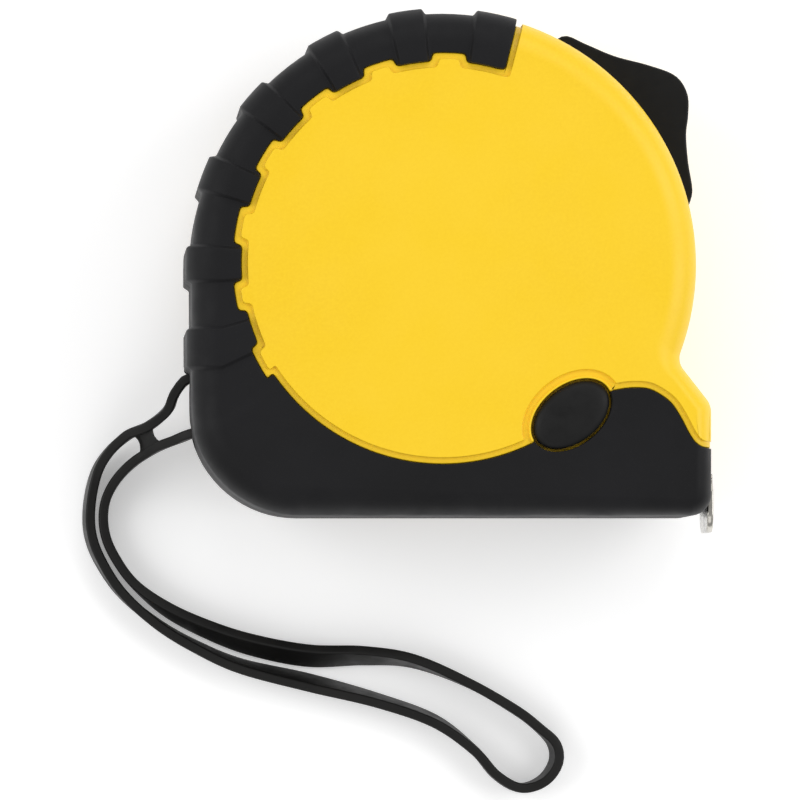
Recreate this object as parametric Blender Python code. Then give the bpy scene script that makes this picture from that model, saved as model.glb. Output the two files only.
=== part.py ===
"""A pocket tape measure with a side button, a thumb lock and a wrist strap.

The case lies on its belt clip. The reel turns about the Z axis, the blade leaves the mouth along +X,
and the top of the case points along +Y. Sizes are in millimetres until place() turns them into metres.
"""

import math

import bmesh
import bpy
from mathutils import Matrix, Vector

MM = 0.001
GAP = 0.3

# Case, as thick as it is from the rear face to the front face.
REAR_Z = 5.0
FRONT_Z = 41.0
MID_Z = (REAR_Z + FRONT_Z) / 2
CASE_R = 36.0
RUBBER_R = 35.6
BASE_Y = -35.6
NOSE_X = 38.1
NOSE_R = 3.0
HEEL_R = 15.5
HEEL_X = -35.5
FLARE_HEADING = 128.0
FLARE_POINT = (36.0, -17.2)
WAIST_R = 2.5
EDGE_R = 4.2
NOSE_EDGE = 0.6
SKIN = 1.1
WALL_INSET = 3.0
CORE_EDGE_R = 3.0

# Rubber grip and its raised ribs.
RIB_ANGLES = (78.5, 98.5, 118.0, 138.5, 159.0, 180.0, 198.5)
RIB_HALF = 4.3
STEP_HALF = 0.5
RIB_RISE = 0.8
RIB_FACE_RISE = 0.6
RIB_INNER_R = 28.7
SKIN_INNER_R = 29.9
GRIP_END = ((12.9, 43.8), (8.6, 27.5))
HEEL_STEP = 214.0
LOWER_R = 28.87
LOWER_CENTRE = (-0.2, 0.45)
MOAT = 0.55
DOME = ((25.6, -17.7), (27.4, -17.6), (29.4, -17.9), (31.9, -19.5), (33.4, -21.6), (34.9, -24.4),
        (36.1, -25.7), (38.1, -26.1), (46.0, -26.1))

# Side button.
BUTTON = (18.06, -21.43)
BUTTON_TILT = 37.5
BUTTON_AXES = (6.0, 3.9)
WELL_AXES = (6.6, 4.45)
WELL_RIM = 1.1
WELL_FLOOR_Z = 38.0
BUTTON_TOP_Z = 41.9
BUTTON_SKIRT_Z = 39.6
STEM_R = 1.6

# Reel and blade.
BLADE_WIDTH = 19.0
BLADE_T = 0.25
BLADE_ARCH = 2.0
BLADE_Y = -31.6
BLADE_TAIL_X = 0.4
BLADE_TIP_X = 37.2
COIL_INNER_R = 22.7
COIL_OUTER_R = 27.9
FLANGE_R = 29.5
FLANGE_T = 1.3
FLANGE_GAP = 0.4
DRUM_R = (21.2, 22.4)
SPINDLE_R = 3.2
SPRING_TURNS = 6.5
SPRING_T = 0.5
LEAD_SPAN = (150.0, 267.5)
LEAD_T = 0.3

# Thumb lock.
TRACK_R = (33.3, 34.6)
TRACK_SPAN = (12.0, 66.0)
ARM_END = -50.5
LOCK_TRAVEL = 12.0
LOCK_HALF = 7.0
LOCK_PAD = ((15.4, 31.4), (17.7, 33.0), (20.8, 31.8), (24.9, 30.1), (29.8, 28.8), (33.6, 27.3),
            (35.3, 24.7), (35.4, 21.6), (35.1, 18.9), (35.4, 14.9), (36.0, 10.9), (35.4, 8.6))

# Hook and mouth.
HOOK_T = 0.9
HOOK_X = 38.0
HOOK_LOW_Y = -37.9
HOOK_FLOAT = 1.0
TAB_X = 26.5
TAB_HALF = 6.0
PLATE_HALF = 7.6
RIVET_X = 31.0
RIVET_OFFSET = 3.2
MOUTH_TOP_Y = -28.3

# Screws: name, centre.
SCREWS = (("corner", (-25.5, -26.0)), ("nose", (31.8, -22.0)), ("top", (0.84, 31.9)))
SCREW_R = 1.0
HEAD_R = 2.1
BOSS_R = 2.0

# Belt clip and its screw.
CLIP_WIDTH = 18.0
CLIP_T = 0.8
CLIP_SCREW_Y = 11.0
CLIP_PATH = ((2.0, 4.3), (20.0, 4.3), (21.4, 3.75), (21.95, 2.35), (21.4, 0.95), (20.0, 0.4),
             (-12.0, 0.4), (-16.0, 1.0), (-19.5, 1.3), (-22.5, 0.8), (-24.5, 0.4))

# Wrist strap: route of its middle line (x, y, z) and how far the band leans over there.
PIN = (-30.4, -19.9)
PIN_R = 1.25
STRAP_WIDTH = 5.0
STRAP_T = 1.4
STRAP_SPACING = 3.1
STRAP_SLOTS = ((-35.2, -15.7), (-34.6, -23.5))
STRAP_SLOT_Z = (8.6, 15.4)
STRAP_ROUTE = (
    (-27.6, -19.9, 12.5, 0), (-28.5, -17.8, 12.5, 0), (-31.0, -17.0, 12.5, 0), (-35.2, -15.4, 12.5, 0),
    (-37.4, -17.3, 11.8, 0), (-38.7, -20.0, 10.4, 0), (-41.2, -22.1, 8.4, 0), (-44.2, -23.5, 6.2, 0),
    (-46.9, -25.8, 4.4, 0), (-48.9, -29.0, 3.2, 0), (-49.9, -33.5, 2.8, 0), (-49.8, -37.8, 2.7, 0),
    (-48.3, -41.8, 2.7, 0), (-45.1, -46.5, 2.7, 0), (-40.0, -50.9, 2.7, 3), (-34.4, -54.2, 2.7, 7),
    (-27.9, -57.0, 2.8, 12), (-18.0, -59.4, 2.8, 18), (-8.0, -62.0, 2.8, 11), (0.3, -65.0, 2.8, 8),
    (6.0, -69.2, 2.7, 2), (9.2, -72.8, 2.7, 0), (12.7, -74.7, 2.7, 0), (16.0, -73.7, 2.7, 5),
    (17.9, -71.1, 2.7, 8), (17.7, -68.4, 2.7, 6), (15.6, -66.1, 2.7, 0), (12.1, -63.4, 2.7, 0),
    (5.3, -59.5, 2.7, 0), (-2.8, -56.3, 2.8, 9), (-10.0, -55.5, 2.9, 20), (-18.0, -55.5, 2.9, 27),
    (-26.0, -54.0, 2.9, 23), (-32.2, -51.9, 2.8, 12), (-38.4, -48.9, 2.7, 5), (-43.3, -45.1, 2.7, 0),
    (-46.3, -41.0, 2.7, 0), (-47.7, -37.4, 2.7, 0), (-47.7, -33.6, 2.8, 0), (-46.3, -30.4, 3.2, 0),
    (-43.7, -27.6, 4.8, 0), (-40.2, -25.4, 7.4, 0), (-37.2, -24.2, 10.2, 0), (-34.6, -23.3, 12.2, 0),
    (-31.0, -22.8, 12.5, 0), (-28.5, -22.0, 12.5, 0),
)
BRIDGE = ((-41.9, -24.3, 7.6), (4.4, 4.0, 4.4), -32.0)

COLOURS = {
    "yellow": ((0.98, 0.66, 0.03), 0.42, 0.0),
    "rubber": ((0.018, 0.018, 0.02), 0.62, 0.0),
    "black_plastic": ((0.02, 0.02, 0.021), 0.4, 0.0),
    "steel": ((0.62, 0.62, 0.6), 0.25, 1.0),
    "spring_steel": ((0.25, 0.26, 0.29), 0.35, 1.0),
    "blade_paint": ((0.95, 0.78, 0.12), 0.4, 0.0),
    "white_plastic": ((0.75, 0.74, 0.7), 0.5, 0.0),
    "felt": ((0.2, 0.19, 0.18), 0.95, 0.0),
}


def clear_scene():
    for obj in list(bpy.data.objects):
        bpy.data.objects.remove(obj)


def material(name):
    found = bpy.data.materials.get(name)
    if found:
        return found
    made = bpy.data.materials.new(name)
    made.use_nodes = True
    shader = made.node_tree.nodes["Principled BSDF"]
    colour, roughness, metallic = COLOURS[name]
    shader.inputs["Base Color"].default_value = (*colour, 1.0)
    shader.inputs["Roughness"].default_value = roughness
    shader.inputs["Metallic"].default_value = metallic
    return made


def polar(angle, radius, centre=(0.0, 0.0)):
    turn = math.radians(angle)
    return (centre[0] + radius * math.cos(turn), centre[1] + radius * math.sin(turn))


def arc(centre, radius, start, end, step=6.0):
    """Points along an arc, both ends included."""
    count = max(1, round(abs(end - start) / step))
    return [polar(start + (end - start) * i / count, radius, centre) for i in range(count + 1)]


def smooth_line(points, spacing, closed=False):
    """Evenly spaced points on a smooth curve through the points, of any dimension."""
    pts = [Vector(p) for p in points]
    count = len(pts)
    spans = count if closed else count - 1
    dense = []
    for i in range(spans):
        around = [i - 1, i, i + 1, i + 2]
        if closed:
            a, b, c, d = (pts[k % count] for k in around)
        else:
            a, b, c, d = (pts[min(max(k, 0), count - 1)] for k in around)
        for k in range(16):
            t = k / 16
            dense.append(0.5 * (2 * b + (c - a) * t + (2 * a - 5 * b + 4 * c - d) * t * t
                                + (3 * b - a - 3 * c + d) * t ** 3))
    dense.append(pts[0] if closed else pts[-1])
    along = [0.0]
    for a, b in zip(dense, dense[1:]):
        along.append(along[-1] + (b - a).length)
    total = max(1, round(along[-1] / spacing))
    spaced, k = [], 0
    for i in range(total if closed else total + 1):
        want = along[-1] * i / total
        while k < len(dense) - 2 and along[k + 1] < want:
            k += 1
        part = (want - along[k]) / max(along[k + 1] - along[k], 1e-9)
        spaced.append(dense[k].lerp(dense[k + 1], min(part, 1.0)))
    return spaced


def case_outline(radius, inset, nose_inset=None):
    """The case seen from the front, moved inwards by inset, counter-clockwise from the waist."""
    nose_inset = inset if nose_inset is None else nose_inset
    nx, ny = polar(FLARE_HEADING - 90.0, 1.0)
    flare = FLARE_POINT[0] * nx + FLARE_POINT[1] * ny
    reach = radius + WAIST_R
    across = flare + WAIST_R
    down = math.sqrt(reach * reach - across * across)
    waist = (across * nx + down * ny, across * ny - down * nx)
    waist_angle = math.degrees(math.atan2(waist[1], waist[0]))
    ring = arc((0.0, 0.0), radius - inset, waist_angle, 180.0)
    heel = (HEEL_X + HEEL_R, BASE_Y + HEEL_R)
    ring += arc(heel, HEEL_R - inset, 180.0, 270.0, 7.5)
    small = max(NOSE_R - nose_inset, 0.4)
    toe = (NOSE_X - nose_inset - small, BASE_Y + nose_inset + small)
    ring += arc(toe, small, 270.0, 360.0, 18.0)
    brow_y = (flare - nose_inset - small - toe[0] * nx) / ny
    ring += arc((toe[0], brow_y), small, 0.0, FLARE_HEADING - 90.0, 13.0)
    start, end = FLARE_HEADING + 90.0, waist_angle + 180.0
    for i in range(6):
        part = i / 6
        away = WAIST_R + nose_inset + (inset - nose_inset) * part
        ring.append(polar(start + (end - start) * part, away, waist))
    return ring


def new_object(name, bm):
    bmesh.ops.recalc_face_normals(bm, faces=bm.faces)
    mesh = bpy.data.meshes.new(name)
    bm.to_mesh(mesh)
    bm.free()
    obj = bpy.data.objects.new(name, mesh)
    bpy.context.scene.collection.objects.link(obj)
    return obj


def loft(name, rings):
    """A closed body through rings of as many points each, with both ends closed."""
    bm = bmesh.new()
    loops = [[bm.verts.new(p) for p in ring] for ring in rings]
    count = len(loops[0])
    for low, high in zip(loops, loops[1:]):
        for i in range(count):
            k = (i + 1) % count
            bm.faces.new((low[i], low[k], high[k], high[i]))
    bm.faces.new(loops[0][::-1])
    bm.faces.new(loops[-1])
    return new_object(name, bm)


def prism(name, points, low, high):
    return loft(name, [[(x, y, z) for x, y in points] for z in (low, high)])


def box(name, low, high):
    corners = [(low[0], low[1]), (high[0], low[1]), (high[0], high[1]), (low[0], high[1])]
    return prism(name, corners, low[2], high[2])


def cylinder(name, centre, radius, low, high, sides=24):
    ring = [polar(360.0 * i / sides, radius, centre) for i in range(sides)]
    return prism(name, ring, low, high)


def ellipse(axes, count=32):
    """Points of the button's tilted ellipse with these half axes."""
    tilt = Matrix.Rotation(math.radians(BUTTON_TILT), 2)
    ring = []
    for i in range(count):
        turn = 2 * math.pi * i / count
        p = tilt @ Vector((axes[0] * math.cos(turn), axes[1] * math.sin(turn)))
        ring.append((BUTTON[0] + p.x, BUTTON[1] + p.y))
    return ring


def sector(name, radii, start, end, low, high, step=6.0):
    ring = arc((0, 0), radii[1], start, end, step) + arc((0, 0), radii[0], end, start, step)
    return prism(name, ring, low, high)


def combine(target, others, operation):
    """Applies one Boolean of the others on the target and removes them."""
    for other in others:
        step = target.modifiers.new("step", "BOOLEAN")
        step.operation = operation
        step.solver = "EXACT"
        step.object = other
        graph = bpy.context.evaluated_depsgraph_get()
        made = bpy.data.meshes.new_from_object(target.evaluated_get(graph))
        target.modifiers.remove(step)
        target.data = made
        bpy.data.objects.remove(other)
    return target


def cut(target, *others):
    return combine(target, others, "DIFFERENCE")


def join(target, *others):
    return combine(target, others, "UNION")


def keep(target, *others):
    return combine(target, others, "INTERSECT")


def place(obj, name, colour, parent):
    """Names the finished piece, turns it into metres and hangs it on its frame."""
    bm = bmesh.new()
    bm.from_mesh(obj.data)
    bmesh.ops.remove_doubles(bm, verts=bm.verts, dist=0.002)
    bmesh.ops.dissolve_degenerate(bm, edges=bm.edges, dist=0.002)
    bmesh.ops.scale(bm, verts=bm.verts, vec=(MM, MM, MM))
    mesh = bpy.data.meshes.new(name)
    bm.to_mesh(mesh)
    bm.free()
    mesh.materials.clear()
    mesh.materials.append(material(colour))
    mesh.shade_smooth()
    mesh.set_sharp_from_angle(angle=math.radians(35))
    obj.data = mesh
    obj.name = name
    mesh.transform(parent.matrix_world.inverted())
    obj.parent = parent
    return obj


def frame(name, at):
    empty = bpy.data.objects.new(name, None)
    empty.location = Vector(at) * MM
    bpy.context.scene.collection.objects.link(empty)
    bpy.context.view_layer.update()
    return empty


def half_levels(front, edge_r, rise, inset):
    """(z, inset) pairs from the parting plane to the face of one half, with a rounded edge."""
    levels = [(GAP / 2, inset)]
    top = FRONT_Z - MID_Z + rise
    for i in range(4):
        turn = math.radians(30.0 * i)
        levels.append((top - edge_r + edge_r * math.sin(turn), inset + edge_r * (1 - math.cos(turn))))
    way = 1 if front else -1
    return [(MID_Z + way * z, d) for z, d in levels]


def half_body(name, front, radius, edge_r, rise=0.0, inset=0.0):
    rings = []
    for z, d in half_levels(front, edge_r, rise, inset):
        nose = inset + (d - inset) * NOSE_EDGE
        rings.append([(x, y, z) for x, y in case_outline(radius, d, nose)])
    if not front:
        rings.reverse()
    return loft(name, rings)


def seam(front):
    """The border between the yellow face and the rubber, from the grip's end to the nose."""
    line = [GRIP_END[0], GRIP_END[1]]
    angle = RIB_ANGLES[0] + RIB_HALF
    line += arc((0, 0), RIB_INNER_R, 75.0, angle + STEP_HALF, 4.0)
    for rib in RIB_ANGLES[1:]:
        line += arc((0, 0), SKIN_INNER_R, angle + 2 * STEP_HALF, rib - RIB_HALF - 2 * STEP_HALF, 5.0)
        line += arc((0, 0), RIB_INNER_R, rib - RIB_HALF - STEP_HALF, rib + RIB_HALF + STEP_HALF, 5.0)
        angle = rib + RIB_HALF
    line += arc((0, 0), SKIN_INNER_R, angle + 2 * STEP_HALF, HEEL_STEP - STEP_HALF, 5.0)
    line += arc(LOWER_CENTRE, LOWER_R, HEEL_STEP, 296.0 if front else 290.0, 5.0)
    over = [(18.06, -21.43), (23.9, -18.0)] if front else [(13.6, -24.3), (19.5, -20.3), (23.0, -18.2)]
    return line + over + [tuple(p) for p in smooth_line(DOME, 1.2)]


def moved(line, distance):
    """The line moved sideways, to its left where distance is positive."""
    pts = [Vector(p) for p in line]
    out = []
    for i, p in enumerate(pts):
        along = (pts[min(i + 1, len(pts) - 1)] - pts[max(i - 1, 0)]).normalized()
        out.append(tuple(p + Vector((-along.y, along.x)) * distance))
    return out


def yellow_zone(front):
    line = moved(seam(front), MOAT)
    return prism("zone", line + [(60, -26), (60, 60), (13.5, 60)], REAR_Z - 5, FRONT_Z + 5)


def rubber_zone(front):
    line = seam(front)[::-1]
    return prism("zone", line + [(12.9, 60), (-60, 60), (-60, -60), (60, -60), (60, -26.1)],
                 REAR_Z - 5, FRONT_Z + 5)


def mouth_cutters():
    half = BLADE_WIDTH / 2 + 0.6
    floor_y = BASE_Y + WALL_INSET
    return [
        box("mouth", (33.0, floor_y, MID_Z - half), (42.0, MOUTH_TOP_Y, MID_Z + half)),
        box("hook_recess", (37.35, -45.0, MID_Z - 9.0), (42.0, MOUTH_TOP_Y, MID_Z + 9.0)),
        box("bumper_pocket", (36.1, -45.0, MID_Z - 8.8), (42.0, floor_y + 0.1, MID_Z + 8.8)),
    ]


def lock_cutters():
    half = LOCK_HALF + 0.4
    return [
        sector("lock_slot", (30.0, 50.0), TRACK_SPAN[0] - LOCK_TRAVEL + 0.8, 64.8,
               MID_Z - half, MID_Z + half),
        sector("lock_track", (31.0, TRACK_R[1] + GAP), -42.0, TRACK_SPAN[1] + 3.0,
               MID_Z - 9.2, MID_Z + 9.2),
    ]


def shell(front):
    """One moulded half: a thin core under the rubber, thick where the yellow face shows."""
    way = 1 if front else -1
    body = half_body("core", front, RUBBER_R, CORE_EDGE_R, -SKIN - GAP, SKIN + GAP)
    face = keep(half_body("face", front, CASE_R, EDGE_R), yellow_zone(front))
    join(body, face)
    hollow = []
    for z, d in ((-1.0, 0.0), (13.5, 0.0), (14.6, 0.45), (15.0, 1.5)):
        hollow.append([(x, y, MID_Z + way * z) for x, y in case_outline(CASE_R, WALL_INSET + d)])
    cut(body, loft("hollow", hollow if front else hollow[::-1]))
    inner_z = FRONT_Z - WALL_INSET - MID_Z
    span = sorted((MID_Z + way * (GAP / 2), MID_Z + way * (inner_z + 0.1)))
    for name, centre in SCREWS:
        join(body, cylinder(name, centre, BOSS_R, *span, 16))
    socket = sorted((MID_Z + way * (inner_z - 2.6), MID_Z + way * (inner_z + 0.5)))
    join(body, cylinder("socket", (0, 0), SPINDLE_R + 1.8, *socket))
    bore = sorted((MID_Z + way * (inner_z - 4.0), MID_Z + way * inner_z))
    cut(body, cylinder("bore", (0, 0), SPINDLE_R + GAP, *bore))
    cut(body, *mouth_cutters(), *lock_cutters())
    if front:
        boss = [WELL_AXES[0] + WELL_RIM, WELL_AXES[1] + WELL_RIM]
        join(body, prism("boss", ellipse(boss), WELL_FLOOR_Z - 1.0, WELL_FLOOR_Z + 1.0))
        cut(body, prism("well", ellipse(WELL_AXES), WELL_FLOOR_Z, FRONT_Z + 3))
        cut(body, cylinder("stem_hole", BUTTON, STEM_R + 0.4, WELL_FLOOR_Z - 3, WELL_FLOOR_Z + 1, 16))
        for name, centre in SCREWS:
            cut(body, cylinder(name, centre, SCREW_R + GAP, MID_Z - 1, MID_Z + 9.5, 12))
    else:
        join(body, cylinder("clip_boss", (0, CLIP_SCREW_Y), 3.0, REAR_Z + 2.0, REAR_Z + 6.2, 16))
        cut(body, cylinder("clip_hole", (0, CLIP_SCREW_Y), 1.8, REAR_Z - 1, REAR_Z + 8, 16))
        for name, centre in SCREWS:
            cut(body, cylinder(name, centre, SCREW_R + GAP, REAR_Z - 1, MID_Z + 1, 12))
            cut(body, cylinder(name, centre, HEAD_R + GAP, REAR_Z - 3, REAR_Z + 2.6, 20))
        cut(body, *strap_slots())
    return body


def strap_slots():
    half, (low, high) = STRAP_T / 2 + 1.15, STRAP_SLOT_Z
    return [box("slot", (x - 6, y - half, low), (x + 6, y + half, high)) for x, y in STRAP_SLOTS]


def rib_zone(angle):
    start = RIB_INNER_R - 3.0
    low, high = angle - RIB_HALF, angle + RIB_HALF
    ring = [polar(low, start), polar(low, 60), polar(high, 60), polar(high, start)]
    return prism("rib_zone", ring, REAR_Z - 5, FRONT_Z + 5)


def grip(front):
    """The rubber overmould of one half, with its ribs."""
    body = half_body("skin", front, RUBBER_R, EDGE_R)
    for angle in RIB_ANGLES:
        rib = half_body("rib", front, RUBBER_R + RIB_RISE, EDGE_R + 0.3, RIB_FACE_RISE)
        join(body, keep(rib, rib_zone(angle)))
    hollow = half_body("hollow", front, RUBBER_R, CORE_EDGE_R + 0.3, -SKIN, SKIN)
    way = 1 if front else -1
    slab = sorted((MID_Z - way * 2, MID_Z + way * 2))
    cut(body, hollow)
    cut(body, prism("parting", case_outline(RUBBER_R, SKIN), *slab))
    keep(body, rubber_zone(front))
    cut(body, *mouth_cutters())
    if front:
        wide = [WELL_AXES[0] + 0.25, WELL_AXES[1] + 0.25]
        cut(body, prism("well", ellipse(wide), MID_Z, FRONT_Z + 3))
    else:
        for name, centre in SCREWS:
            cut(body, cylinder(name, centre, HEAD_R + GAP + 0.2, REAR_Z - 3, MID_Z - 2, 20))
        cut(body, *strap_slots())
    return body


def screw(centre, head_r, head_t, shaft_r, seat_z, tip_z):
    """A pan head screw with a cross recess, driven upwards from the rear."""
    body = cylinder("screw", centre, shaft_r, seat_z - 0.2, tip_z, 12)
    head = []
    for z, r in ((seat_z, head_r), (seat_z - head_t * 0.6, head_r), (seat_z - head_t, head_r * 0.7)):
        head.append([(*polar(18.0 * i, r, centre), z) for i in range(20)])
    join(body, loft("head", head[::-1]))
    arm, low = head_r * 0.55, seat_z - head_t - 0.2
    for along, across in ((arm, 0.22), (0.22, arm)):
        x, y = centre
        cut(body, box("recess", (x - along, y - across, low), (x + along, y + across, low + 0.2 + head_t * 0.5)))
    return body


def spindle():
    body = cylinder("spindle", (0, 0), SPINDLE_R, REAR_Z + WALL_INSET + GAP, FRONT_Z - WALL_INSET - GAP, 20)
    half = BLADE_WIDTH / 2 + 0.3
    return cut(body, box("slot", (-6, -0.55, MID_Z - half), (6, 0.55, MID_Z + half)))


def ribbon(name, middle, thickness, low, high):
    """A thin strip that follows a line in the plan, standing between two heights."""
    side = moved(middle, thickness / 2)
    other = moved(middle, -thickness / 2)
    return prism(name, side + other[::-1], low, high)


def spiral(start_angle, end_angle, start_r, end_r, step=20.0):
    count = round(abs(end_angle - start_angle) / step)
    line = []
    for i in range(count + 1):
        part = i / count
        line.append(polar(start_angle + (end_angle - start_angle) * part, start_r + (end_r - start_r) * part))
    return line


def main_spring():
    """The spring's inner end sits in the spindle's slot, and its turns fill the drum."""
    coil = spiral(0.0, 360.0 * SPRING_TURNS, SPINDLE_R + 1.2, DRUM_R[0] - 0.8)
    line = [(-2.4, 0.0), (0.0, 0.0), (SPINDLE_R + 0.2, 0.0)] + coil[1:]
    half = BLADE_WIDTH / 2 - 0.7
    return ribbon("spring", line, SPRING_T, MID_Z - half, MID_Z + half)


def reel_drum():
    low = MID_Z - BLADE_WIDTH / 2 - FLANGE_GAP - FLANGE_T
    top = MID_Z + BLADE_WIDTH / 2 + FLANGE_GAP - GAP
    body = cylinder("drum", (0, 0), DRUM_R[1], low, top, 48)
    cut(body, cylinder("inside", (0, 0), DRUM_R[0], low + FLANGE_T, top + 1, 48))
    join(body, cylinder("flange", (0, 0), FLANGE_R, low, low + FLANGE_T, 60))
    return cut(body, cylinder("bore", (0, 0), SPINDLE_R + 0.35, low - 1, low + 3))


def reel_cover():
    low = MID_Z + BLADE_WIDTH / 2 + FLANGE_GAP
    body = cylinder("cover", (0, 0), FLANGE_R, low, low + FLANGE_T, 60)
    cut(body, cylinder("bore", (0, 0), SPINDLE_R + 0.35, low - 1, low + 3))
    for i in range(6):
        hole = cylinder("hole", polar(60.0 * i + 30.0, 12.5), 3.6, low - 1, low + 3, 16)
        cut(body, hole)
    return body


def blade_coil():
    """The wound blade; its outermost turn leaves the coil and runs down to the mouth's level."""
    half = BLADE_WIDTH / 2
    body = cylinder("coil", (0, 0), COIL_OUTER_R, MID_Z - half, MID_Z + half, 60)
    cut(body, cylinder("inside", (0, 0), COIL_INNER_R, MID_Z - half - 1, MID_Z + half + 1, 48))
    start_r, end_r = COIL_OUTER_R - LEAD_T, -BLADE_Y - BLADE_T / 2
    start, end = LEAD_SPAN
    count = 24
    line = []
    for i in range(count + 1):
        part = i / count
        ease = part * part * (3 - 2 * part)
        line.append(polar(start + (end - start) * part, start_r + (end_r - start_r) * ease))
    return join(body, ribbon("lead", line, LEAD_T, MID_Z - half, MID_Z + half))


def arch_height(offset):
    return BLADE_ARCH * (offset / (BLADE_WIDTH / 2)) ** 2


def arched_strip(name, x0, x1, half, lift, thickness, count=10):
    """A strip along X whose section is curved like the blade's, lifted off the blade's underside."""
    lower, upper = [], []
    for i in range(count + 1):
        off = -half + 2 * half * i / count
        y = BLADE_Y + arch_height(off) + lift
        lower.append((y, MID_Z + off))
        upper.append((y + thickness, MID_Z + off))
    ring = lower + upper[::-1]
    return loft(name, [[(x, y, z) for y, z in ring] for x in (x0, x1)])


def upright_cylinder(name, x, z, radius, low_y, high_y, sides=14):
    ring = [polar(360.0 * i / sides, radius, (x, z)) for i in range(sides)]
    return loft(name, [[(px, y, pz) for px, pz in ring] for y in (low_y, high_y)])


def blade_tongue():
    body = arched_strip("tongue", BLADE_TAIL_X, BLADE_TIP_X, BLADE_WIDTH / 2, 0.0, BLADE_T)
    for way in (-1, 1):
        z = MID_Z + way * RIVET_OFFSET
        cut(body, upright_cylinder("hole", RIVET_X, z, 1.05, BLADE_Y - 3, BLADE_Y + 3))
    return body


def end_hook():
    """Tab on the blade, with two slots that let it float, and a plate bent down in front of the nose."""
    lift = BLADE_T + GAP
    body = arched_strip("tab", TAB_X, HOOK_X + HOOK_T, TAB_HALF, lift, 0.8)
    top = BLADE_Y + lift + 0.4
    ring = [(top + arch_height(off), MID_Z + off) for off in (-5.6, -3, 0, 3, 5.6)]
    ring += [(-31.0, MID_Z + 6.4), (-31.9, MID_Z + PLATE_HALF)]
    corner = HOOK_LOW_Y + 3.0
    for side, start in ((1, 0.0), (-1, 90.0)):
        for i in range(6):
            turn = math.radians(start + 18.0 * i)
            z = MID_Z + side * (PLATE_HALF - 3.0) + 3.0 * math.cos(turn)
            ring.append((corner - 3.0 * math.sin(turn), z))
    ring += [(-31.9, MID_Z - PLATE_HALF), (-31.0, MID_Z - 6.4)]
    plate = loft("plate", [[(x, y, z) for y, z in ring] for x in (HOOK_X, HOOK_X + HOOK_T)])
    join(body, plate)
    for way in (-1, 1):
        z = MID_Z + way * RIVET_OFFSET
        ends = arc((RIVET_X, z), 1.05, -90.0, 90.0, 22.5)
        ends += arc((RIVET_X - HOOK_FLOAT, z), 1.05, 90.0, 270.0, 22.5)
        cut(body, loft("slot", [[(px, y, pz) for px, pz in ends] for y in (BLADE_Y - 3, BLADE_Y + 4)]))
    return body


def rivet(way):
    z = MID_Z + way * RIVET_OFFSET
    seat = BLADE_Y + BLADE_T + GAP + 0.8 + arch_height(RIVET_OFFSET + 1.5) + 0.1
    body = upright_cylinder("rivet", RIVET_X, z, 0.75, BLADE_Y - 0.5, seat + 0.3)
    join(body, upright_cylinder("head", RIVET_X, z, 1.5, seat, seat + 0.6))
    return join(body, upright_cylinder("tail", RIVET_X, z, 1.4, BLADE_Y - 0.7, BLADE_Y - 0.35))


def hook_bumper():
    ring = [(36.4, -32.85), (37.1, -32.85), (37.1, -35.0), (36.4, -35.3)]
    return prism("bumper", ring, MID_Z - 8.4, MID_Z + 8.4)


def thumb_lock():
    """Thumb pad, guide plate behind the case wall, and the long arm that pinches the blade."""
    body = sector("guide", TRACK_R, *TRACK_SPAN, MID_Z - 8.8, MID_Z + 8.8)
    join(body, sector("arm", TRACK_R, ARM_END, TRACK_SPAN[1] - 1.0, MID_Z - 4.8, MID_Z + 4.8))
    pad = [tuple(p) for p in smooth_line(LOCK_PAD, 1.6)]
    pad += arc((0, 0), TRACK_R[1] - 0.5, 14.5, 63.0)
    return join(body, prism("pad", pad, MID_Z - LOCK_HALF, MID_Z + LOCK_HALF))


def side_button():
    """Domed oval cap, hollow underneath, with a stem that reaches through the well's floor."""
    rings = []
    for z, inset in ((BUTTON_SKIRT_Z, 0.0), (40.9, 0.0), (41.35, 0.3), (41.65, 1.0), (41.83, 2.0),
                     (BUTTON_TOP_Z, 3.2)):
        axes = (BUTTON_AXES[0] - inset, BUTTON_AXES[1] - inset)
        rings.append([(x, y, z) for x, y in ellipse(axes)])
    body = loft("cap", rings)
    hollow = (BUTTON_AXES[0] - 0.9, BUTTON_AXES[1] - 0.6)
    cut(body, prism("hollow", ellipse(hollow, 24), BUTTON_SKIRT_Z - 1, 40.7))
    return join(body, cylinder("stem", BUTTON, STEM_R, WELL_FLOOR_Z - 1.05, 41.0, 16))


def brake_pad():
    return cylinder("pad", BUTTON, 3.2, WELL_FLOOR_Z - 2.2, WELL_FLOOR_Z - 1.35, 20)


def button_spring():
    """A helical spring round the stem, between the well's floor and the cap."""
    turns, per_turn, wire, radius = 3, 14, 0.22, 2.35
    low, high = WELL_FLOOR_Z + 0.3, 40.4
    rings = []
    for i in range(turns * per_turn + 1):
        part = i / (turns * per_turn)
        turn = 2 * math.pi * turns * part
        centre = Vector((BUTTON[0], BUTTON[1], low + wire + (high - low - 2 * wire) * part))
        out = Vector((math.cos(turn), math.sin(turn), 0.0))
        ring = []
        for k in range(6):
            roll = 2 * math.pi * k / 6
            ring.append(centre + out * (radius + wire * math.cos(roll)) + Vector((0, 0, wire * math.sin(roll))))
        rings.append(ring)
    return loft("spring", rings)


def belt_clip():
    """Spring steel bent back on itself: the inner leaf is screwed on, the outer leaf holds the belt."""
    line = [tuple(p) for p in CLIP_PATH]
    ring = moved(line, CLIP_T / 2) + moved(line, -CLIP_T / 2)[::-1]
    half = CLIP_WIDTH / 2
    body = loft("clip", [[(x, y, max(z, 0.0)) for y, z in ring] for x in (-half, half)])
    cut(body, cylinder("access", (0, CLIP_SCREW_Y), 3.6, -1, 2, 20))
    return cut(body, cylinder("hole", (0, CLIP_SCREW_Y), 1.8, 3, 6, 16))


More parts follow.
